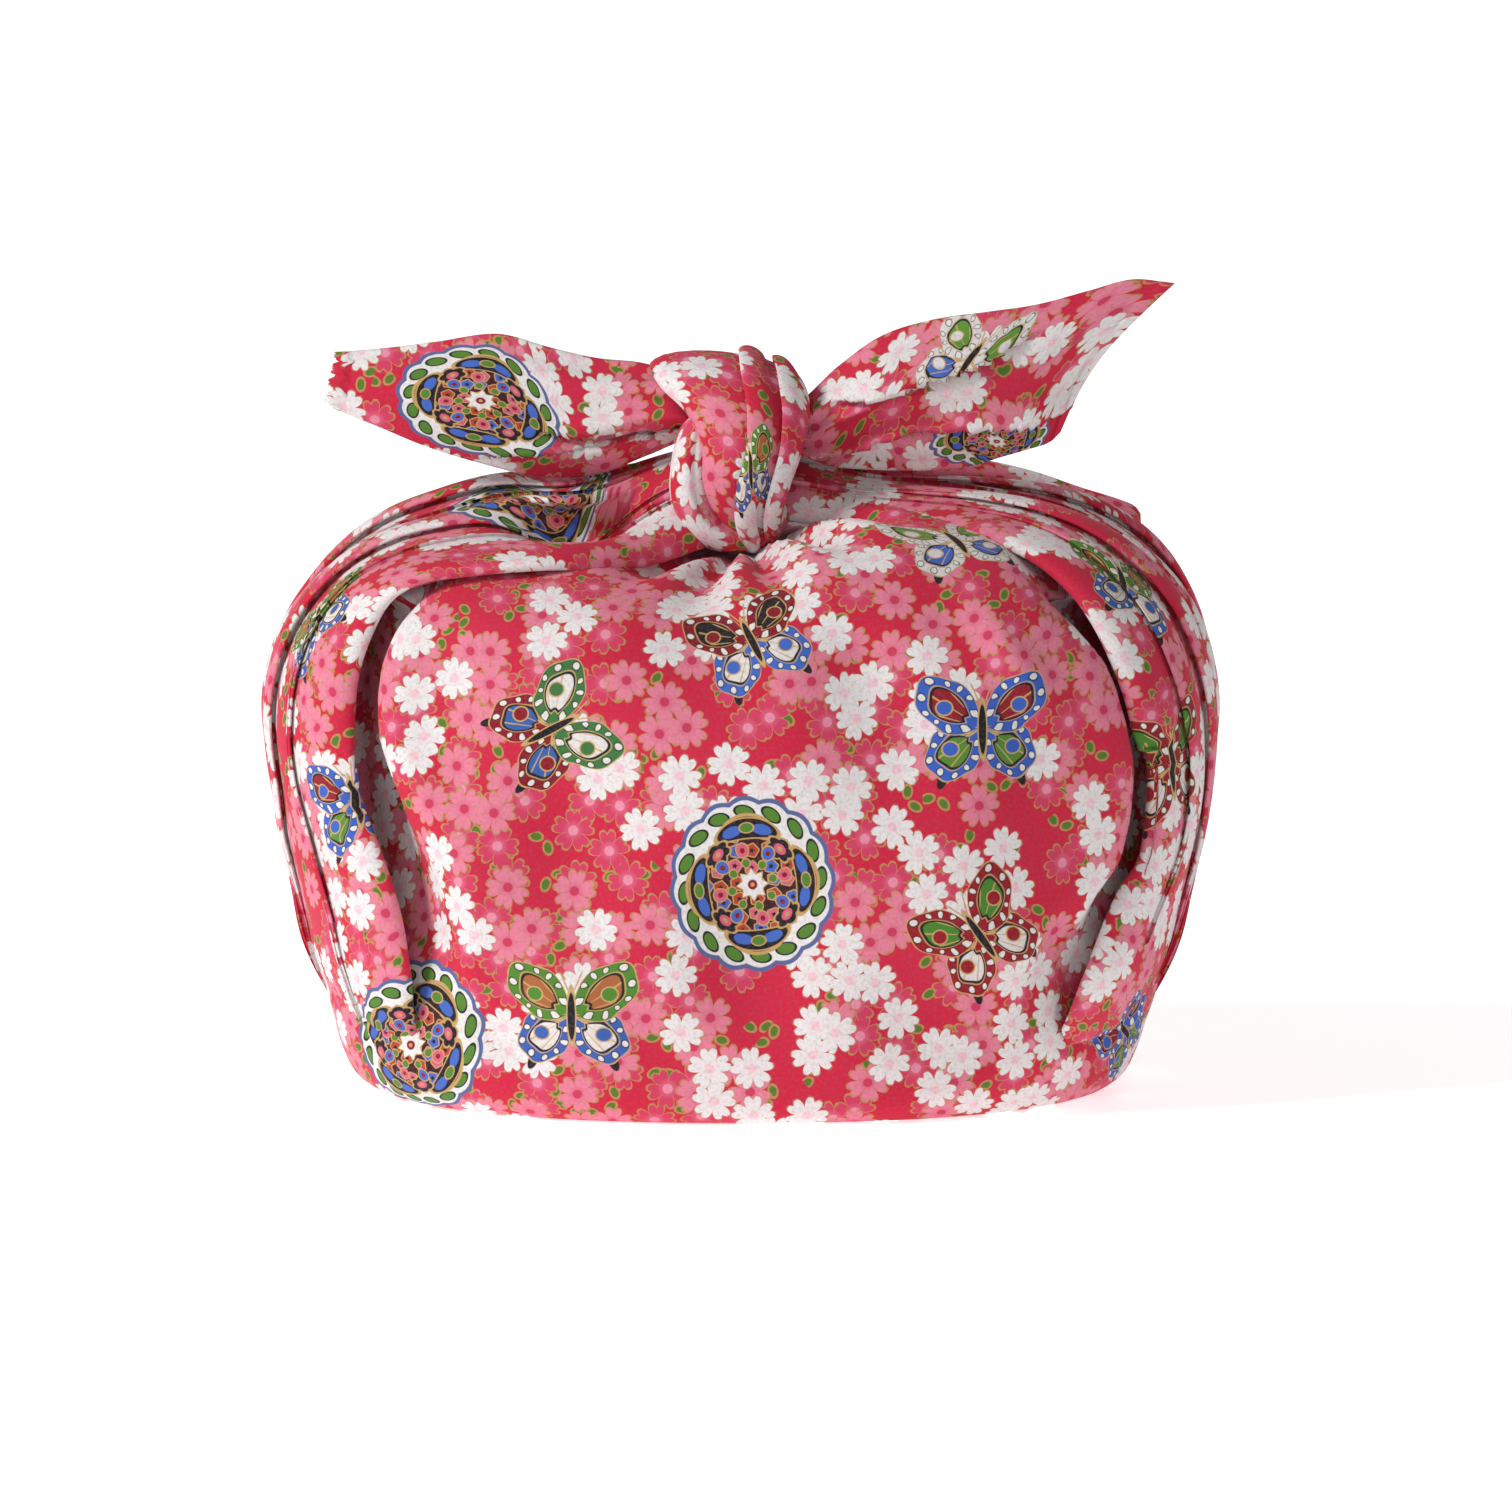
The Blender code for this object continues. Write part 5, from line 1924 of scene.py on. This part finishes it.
        wedge = self.ellipse(quarter.abs() * 12.0, out, 2.2, 13.3, 1.5, 1.3)
        bud = self.ellipse(quarter * 12.0, out, 0.0, 13.5, 0.95, 1.1)
        rose = self.ellipse(corner * 11.5, out, 0.0, 11.0, 2.3, 2.3)
        petals = (self.math("ARCTAN2", out - 11.0, corner * 11.5) * 3.0).sin().abs() * 0.25
        dot = self.ellipse(ring * 6.4, out, 0.0, 8.4, 1.45, 1.7)
        bead = self.ellipse(ring * 4.3, out, 0.0, 5.3, 0.95, 1.0)
        colour = self.coated(
            slate,
            (0.945 - rim, 0.01, white),
            (1.25 - leaf, 0.08, black),
            (1.0 - leaf, 0.1, green),
            (inner + 0.04, 0.01, gold),
            (inner, 0.01, black),
            (inner - 0.035, 0.01, red),
            (tooth + 0.02, 0.01, gold),
            (tooth, 0.01, self.florets(x, y)),
            (1.14 - lens, 0.05, gold),
            (1.0 - lens, 0.05, black),
            (1.0 - wedge, 0.08, blue),
            (1.25 - bud, 0.1, gold),
            (1.0 - bud, 0.1, green),
            (1.0 - rose + petals, 0.08, gold),
            (0.82 - rose + petals, 0.08, black),
            (0.52 - rose, 0.08, pink),
            (0.24 - rose, 0.08, gold),
            (1.2 - dot, 0.1, gold),
            (1.0 - dot, 0.1, self.mix((way * 4.0).sin().over(0.0), blue, pink)),
            (0.45 - dot, 0.1, red),
            (1.3 - bead, 0.1, gold),
            (1.0 - bead, 0.1, green),
            (star + 0.35, 0.2, gold),
            (star, 0.2, white),
            (1.3 - out, 0.2, red),
            (0.6 - out, 0.2, gold),
        )
        return self.coated(below, (1.0 - rim, 0.012, colour))

    def dress(self) -> bpy.types.Material:
        """Make the print, the weave and the shader.

        Returns:
            The material.
        """
        place = self.uv("print")
        cloud = self.noise(place, 42.0, 1.0)
        clouded = ((cloud - 0.4) * 3.0).held() * 0.35
        ground = self.mix(clouded, linear(self.finish.ground), linear(self.finish.cloud))
        colour = self.leaves(place, ground)
        for layer in self.finish.blossoms:
            colour = self.blossoms(place, layer, "F2", colour)
            colour = self.blossoms(place, layer, "F1", colour)
        x, y, _ = self.split(self.uv("motif"))
        kind = self.attribute("motif_kind", "Fac")
        bare = colour
        for motif, drawn in (
            (Motif.BUTTERFLY, self.butterfly(x, y, bare)),
            (Motif.MEDALLION, self.medallion(x, y, bare)),
        ):
            here = (0.4 - (kind - float(motif.value)).abs()).over(0.0)
            colour = self.mix(here, colour, drawn)
        mottle = self.noise(place, 0.9, 2.0)
        mottled = ((mottle - 0.42) * 2.6).held() * 0.26
        colour = self.mix(mottled, colour, linear(self.finish.mottle))
        px, py, _ = self.split(place)
        weave = (px * 9.0).sin() * (py * 9.0).sin()
        relief = mottle * 0.8 + weave * 0.25
        bumps = {"Strength": 0.35, "Distance": 0.00012, "Height": relief}
        bump = self.node("ShaderNodeBump", {}, bumps)
        rough = self.finish.roughness + (mottle - 0.5) * 0.1
        shader = self.node(
            "ShaderNodeBsdfPrincipled",
            {},
            {
                "Base Color": colour,
                "Roughness": rough,
                "Normal": Wire(self, bump.outputs[0]),
                "Specular IOR Level": 0.2,
                "Sheen Weight": 0.05,
                "Sheen Roughness": 0.5,
            },
        )
        self.node("ShaderNodeOutputMaterial", {}, {"Surface": Wire(self, shader.outputs[0])})
        return self.material


@dataclass(frozen=True)
class Lamp:
    """A soft square light: its name, place and side in metres, and power in watts."""

    name: str
    spot: tuple[float, float, float]
    size: float
    power: float


@dataclass(frozen=True)
class Studio:
    """Plain pale floor, soft lights, and the camera at the photograph's angle.

    Attributes:
        target: What the camera and the lights aim at, in metres.
        elevation: The camera's angle above level in degrees.
        distance: The camera's distance from the target.
        view_width: Width of the view at the target.
        sensor: Width of the camera's sensor in millimetres.
        sky: Strength of the white sky.
        floor_tone: The floor's grey.
        floor_glow: The floor's own light, which keeps it as pale as in the photograph.
        floor_corners: The floor's least and greatest x and y.
        lamps: The lights.
    """

    target: tuple[float, float, float] = (0.0037, 0.0, 0.0752)
    elevation: float = 8.0
    distance: float = 7.0
    view_width: float = 0.3479
    sensor: float = 36.0
    sky: float = 0.33
    floor_tone: float = 0.94
    floor_glow: float = 0.66
    floor_corners: tuple[float, float, float, float] = (-12.0, 12.0, -12.0, 14.0)
    lamps: tuple[Lamp, ...] = (
        Lamp("key light", (-3.9, -1.8, 2.85), 1.2, 190.0),
        Lamp("fill light", (0.6, -1.6, 0.7), 0.9, 0.8),
    )

    def camera(self) -> None:
        """Place a long lens so that the view is as wide as the photograph at the bag."""
        lens = bpy.data.cameras.new("studio camera")
        lens.sensor_width = self.sensor
        lens.lens = self.sensor * self.distance / self.view_width
        lens.clip_end = 60.0
        eye = bpy.data.objects.new("studio camera", lens)
        tilt = np.radians(self.elevation)
        way = Vector((0.0, -float(np.cos(tilt)), float(np.sin(tilt))))
        eye.location = Vector(self.target) + way * self.distance
        eye.rotation_euler = (-way).to_track_quat("-Z", "Y").to_euler()
        bpy.context.scene.collection.objects.link(eye)
        bpy.context.scene.camera = eye

    def light(self, lamp: Lamp) -> None:
        """Place a light and aim it at the bag.

        Args:
            lamp: The light.
        """
        source = bpy.data.lights.new(lamp.name, "AREA")
        source.shape = "SQUARE"
        source.size = lamp.size
        source.energy = lamp.power
        thing = bpy.data.objects.new(lamp.name, source)
        thing.location = lamp.spot
        aim = Vector(self.target) - Vector(lamp.spot)
        thing.rotation_euler = aim.to_track_quat("-Z", "Y").to_euler()
        bpy.context.scene.collection.objects.link(thing)

    def floor(self) -> bpy.types.Object:
        """A wide pale floor.

        Returns:
            The floor.
        """
        mesh = bpy.data.meshes.new("floor")
        left, right, near, far = self.floor_corners
        corners = [(left, near, 0.0), (right, near, 0.0), (right, far, 0.0), (left, far, 0.0)]
        mesh.from_pydata(corners, [], [(0, 1, 2, 3)])
        thing = bpy.data.objects.new("floor", mesh)
        bpy.context.scene.collection.objects.link(thing)
        finish = bpy.data.materials.new("pale floor")
        finish.use_nodes = True
        shader = finish.node_tree.nodes["Principled BSDF"]
        shader.inputs["Base Color"].default_value = (*[self.floor_tone] * 3, 1.0)
        shader.inputs["Emission Color"].default_value = (1.0, 1.0, 1.0, 1.0)
        shader.inputs["Emission Strength"].default_value = self.floor_glow
        shader.inputs["Roughness"].default_value = 0.6
        thing.data.materials.append(finish)
        return thing

    def build(self) -> None:
        """Make the stage."""
        world = bpy.data.worlds.new("studio")
        world.use_nodes = True
        sky = world.node_tree.nodes["Background"]
        sky.inputs[0].default_value = (1.0, 1.0, 1.0, 1.0)
        sky.inputs[1].default_value = self.sky
        bpy.context.scene.world = world
        bpy.context.scene.view_settings.view_transform = "Standard"
        for lamp in self.lamps:
            self.light(lamp)
        self.camera()
        self.floor()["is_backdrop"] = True


class Spot(Enum):
    """Places in the photograph: pixels from the left and the top, and y of the surface there."""

    PANEL_MIDDLE = (753, 887, -70.0)
    PANEL_UNDER_KNOT = (745, 634, -70.0)
    PANEL_UPPER_LEFT = (552, 725, -70.0)
    PANEL_UPPER_RIGHT = (990, 722, -70.0)
    PANEL_LOWER_RIGHT = (990, 935, -70.0)
    PANEL_LOWER_LEFT = (570, 1022, -70.0)
    FLAP_RIGHT = (955, 545, -70.0)
    LEFT_POCKET = (535, 510, -30.0)
    LEFT_SHOULDER = (320, 620, -45.0)
    LEFT_SIDE = (372, 790, -60.0)
    RIGHT_SHOULDER = (1120, 580, -45.0)
    RIGHT_SIDE = (1180, 760, -40.0)
    LEFT_EAR_MIDDLE = (474, 398, -14.0)
    RIGHT_EAR_UPPER = (975, 352, -18.0)
    RIGHT_EAR_LOWER = (1002, 452, -18.0)

    def on_bag(self) -> tuple[float, float]:
        """Where the place lies on the bag.

        Returns:
            x and z in millimetres.
        """
        column, row, depth = self.value
        height = (FOOT_ROW - row) * PIXEL - TILT_SINE * (depth - PANEL_DEPTH)
        return (column - MIDDLE_COLUMN) * PIXEL, height / TILT_COSINE


def butterfly_at(
    spot: Spot, turn: float, size: float = 1.0, squeeze: float = 1.0, wings: Wings = Wings.BLUE
) -> MotifPlace:
    """A butterfly at a place in the photograph."""
    return MotifPlace(Motif.BUTTERFLY, *spot.on_bag(), turn, size, squeeze, wings)


def medallion_at(spot: Spot, turn: float, size: float = 1.0, squeeze: float = 1.0) -> MotifPlace:
    """A medallion at a place in the photograph."""
    return MotifPlace(Motif.MEDALLION, *spot.on_bag(), turn, size, squeeze)


# Two motifs that run over from the body on to a strap, so their place in the print is given.
LOW_LEFT = MotifPlace(
    Motif.MEDALLION, -73.0, 16.0, turn=-30.0, at=(-front_arc(-73.0, -52.0, 16.0), -45.0)
)
LOW_RIGHT = MotifPlace(
    Motif.BUTTERFLY,
    85.0,
    15.0,
    turn=40.0,
    size=0.95,
    squeeze=0.9,
    at=(front_arc(86.0, -36.0, 16.0), -45.0),
)
FRONT_MOTIFS = [
    medallion_at(Spot.PANEL_MIDDLE, 6.0),
    LOW_LEFT,
    LOW_RIGHT,
    butterfly_at(Spot.PANEL_UNDER_KNOT, 24.0, 1.05, 0.9, Wings.DARK),
    butterfly_at(Spot.PANEL_UPPER_LEFT, -62.0, 1.15, 0.8, Wings.STRIPED),
    butterfly_at(Spot.PANEL_UPPER_RIGHT, 0.0, 1.08),
    butterfly_at(Spot.PANEL_LOWER_RIGHT, 35.0, 1.12, 0.85, Wings.RED),
    butterfly_at(Spot.PANEL_LOWER_LEFT, 2.0, 1.08, 1.0, Wings.GREEN),
    butterfly_at(Spot.FLAP_RIGHT, 15.0, 1.05, 1.0, Wings.WHITE),
]
BACK_MOTIFS = [
    MotifPlace(Motif.MEDALLION, 8.0, 52.0, 0.0),
    MotifPlace(Motif.BUTTERFLY, -46.0, 88.0, 25.0, 1.0, 1.0, Wings.BLUE),
    MotifPlace(Motif.BUTTERFLY, 52.0, 92.0, -20.0, 1.0, 0.9, Wings.RED),
    MotifPlace(Motif.BUTTERFLY, -54.0, 28.0, -15.0, 1.0, 1.0, Wings.GREEN),
    MotifPlace(Motif.BUTTERFLY, 60.0, 26.0, 35.0, 0.95, 0.9, Wings.WHITE),
    MotifPlace(Motif.BUTTERFLY, -4.0, 112.0, 10.0, 0.9, 1.0, Wings.PINK),
]
LEFT_STRAP_MOTIFS = [
    LOW_LEFT,
    medallion_at(Spot.LEFT_POCKET, 20.0),
    butterfly_at(Spot.LEFT_SHOULDER, 60.0, wings=Wings.GREEN),
    butterfly_at(Spot.LEFT_SIDE, 20.0),
]
RIGHT_STRAP_MOTIFS = [
    butterfly_at(Spot.RIGHT_SHOULDER, -35.0, wings=Wings.GREEN),
    butterfly_at(Spot.RIGHT_SIDE, 10.0, 1.1, 1.0, Wings.RED),
    LOW_RIGHT,
]


@dataclass
class Portion:
    """A portion of the square cloth: its builder, and its flat size in metres and how it is held,
    which are not used.
    """

    builder: BodyWrap | Strap | Knot | ShoulderFold | Ear
    flat: tuple[float, float]
    held: str
    rests_on: list[str]


def portions() -> list[Portion]:
    """The visible portions of the cloth.

    Returns:
        The portions in the order that they are laid.
    """
    body = BodyWrap(front_motifs=FRONT_MOTIFS, back_motifs=BACK_MOTIFS)
    left = LeftStrap("left_strap", LEFT_STRAP_ROWS, LEFT_PLEATS, -1.0, motifs=LEFT_STRAP_MOTIFS)
    right = Strap("right_strap", RIGHT_STRAP_ROWS, RIGHT_PLEATS, 1.0, motifs=RIGHT_STRAP_MOTIFS)
    left_ear = Ear(
        "left_ear",
        LEFT_EAR_ROWS,
        LEFT_EAR_PRINT,
        print_turn=8.0,
        fray=0.55,
        creases=((0.42, 0.42, 0.08, 0.54, 4.2, 6.0), (0.52, 0.16, 0.10, 0.28, 2.4, 4.0)),
        motifs=[medallion_at(Spot.LEFT_EAR_MIDDLE, 96.0, 0.95, 0.74)],
    )
    right_ear = Ear(
        "right_ear",
        RIGHT_EAR_ROWS,
        RIGHT_EAR_PRINT,
        print_turn=-18.0,
        creases=(
            (0.10, 0.28, 0.42, 0.36, 6.6, 7.0),
            (0.46, 0.36, 0.86, 0.24, 5.4, 8.0),
            (0.30, 0.70, 0.66, 0.80, 5.6, 8.0),
            (0.10, 0.56, 0.36, 0.58, 3.0, 5.0),
        ),
        motifs=[
            butterfly_at(Spot.RIGHT_EAR_UPPER, -50.0, 0.95, 0.8, Wings.WHITE),
            medallion_at(Spot.RIGHT_EAR_LOWER, 78.0, 0.85, 0.55),
        ],
    )
    return [
        Portion(body, (0.34, 0.34), "folded", []),
        Portion(left, (0.19, 0.19), "gathered", ["body_wrap"]),
        Portion(right, (0.19, 0.19), "gathered", ["body_wrap"]),
        Portion(ShoulderFold(), (0.09, 0.0125), "folded", ["right_strap"]),
        Portion(Knot(), (0.112, 0.112), "gathered", ["left_strap", "right_strap"]),
        Portion(left_ear, (0.10, 0.0255), "folded", ["knot"]),
        Portion(right_ear, (0.11, 0.027), "folded", ["knot"]),
    ]


def main() -> None:
    """Load the frame, build every portion of the cloth and set the stage."""
    logging.basicConfig(level=logging.INFO, format="%(name)s: %(message)s")
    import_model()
    low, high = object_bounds()
    sizes = {"cad": [list(map(float, low)), list(map(float, high))]}
    cotton = PrintInk("printed cotton", PrintedCotton()).dress()
    for portion in portions():
        piece = portion.builder.build()
        piece.data.materials.append(cotton)
        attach(piece, "root")
        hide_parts(CLOTH_NODE)
        areas = np.empty(len(piece.data.polygons))
        piece.data.polygons.foreach_get("area", areas)
        LOG.info("%s: %d faces, %.4f m2", piece.name, len(areas), areas.sum())
    Studio().build()
    low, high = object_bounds()
    sizes["visual"] = [list(map(float, low)), list(map(float, high))]
    for name, (a, b) in sizes.items():
        LOG.info("%s box: %s", name, np.round((np.array(b) - np.array(a)) * 1000.0, 1).tolist())


if __name__ == "__main__":
    main()
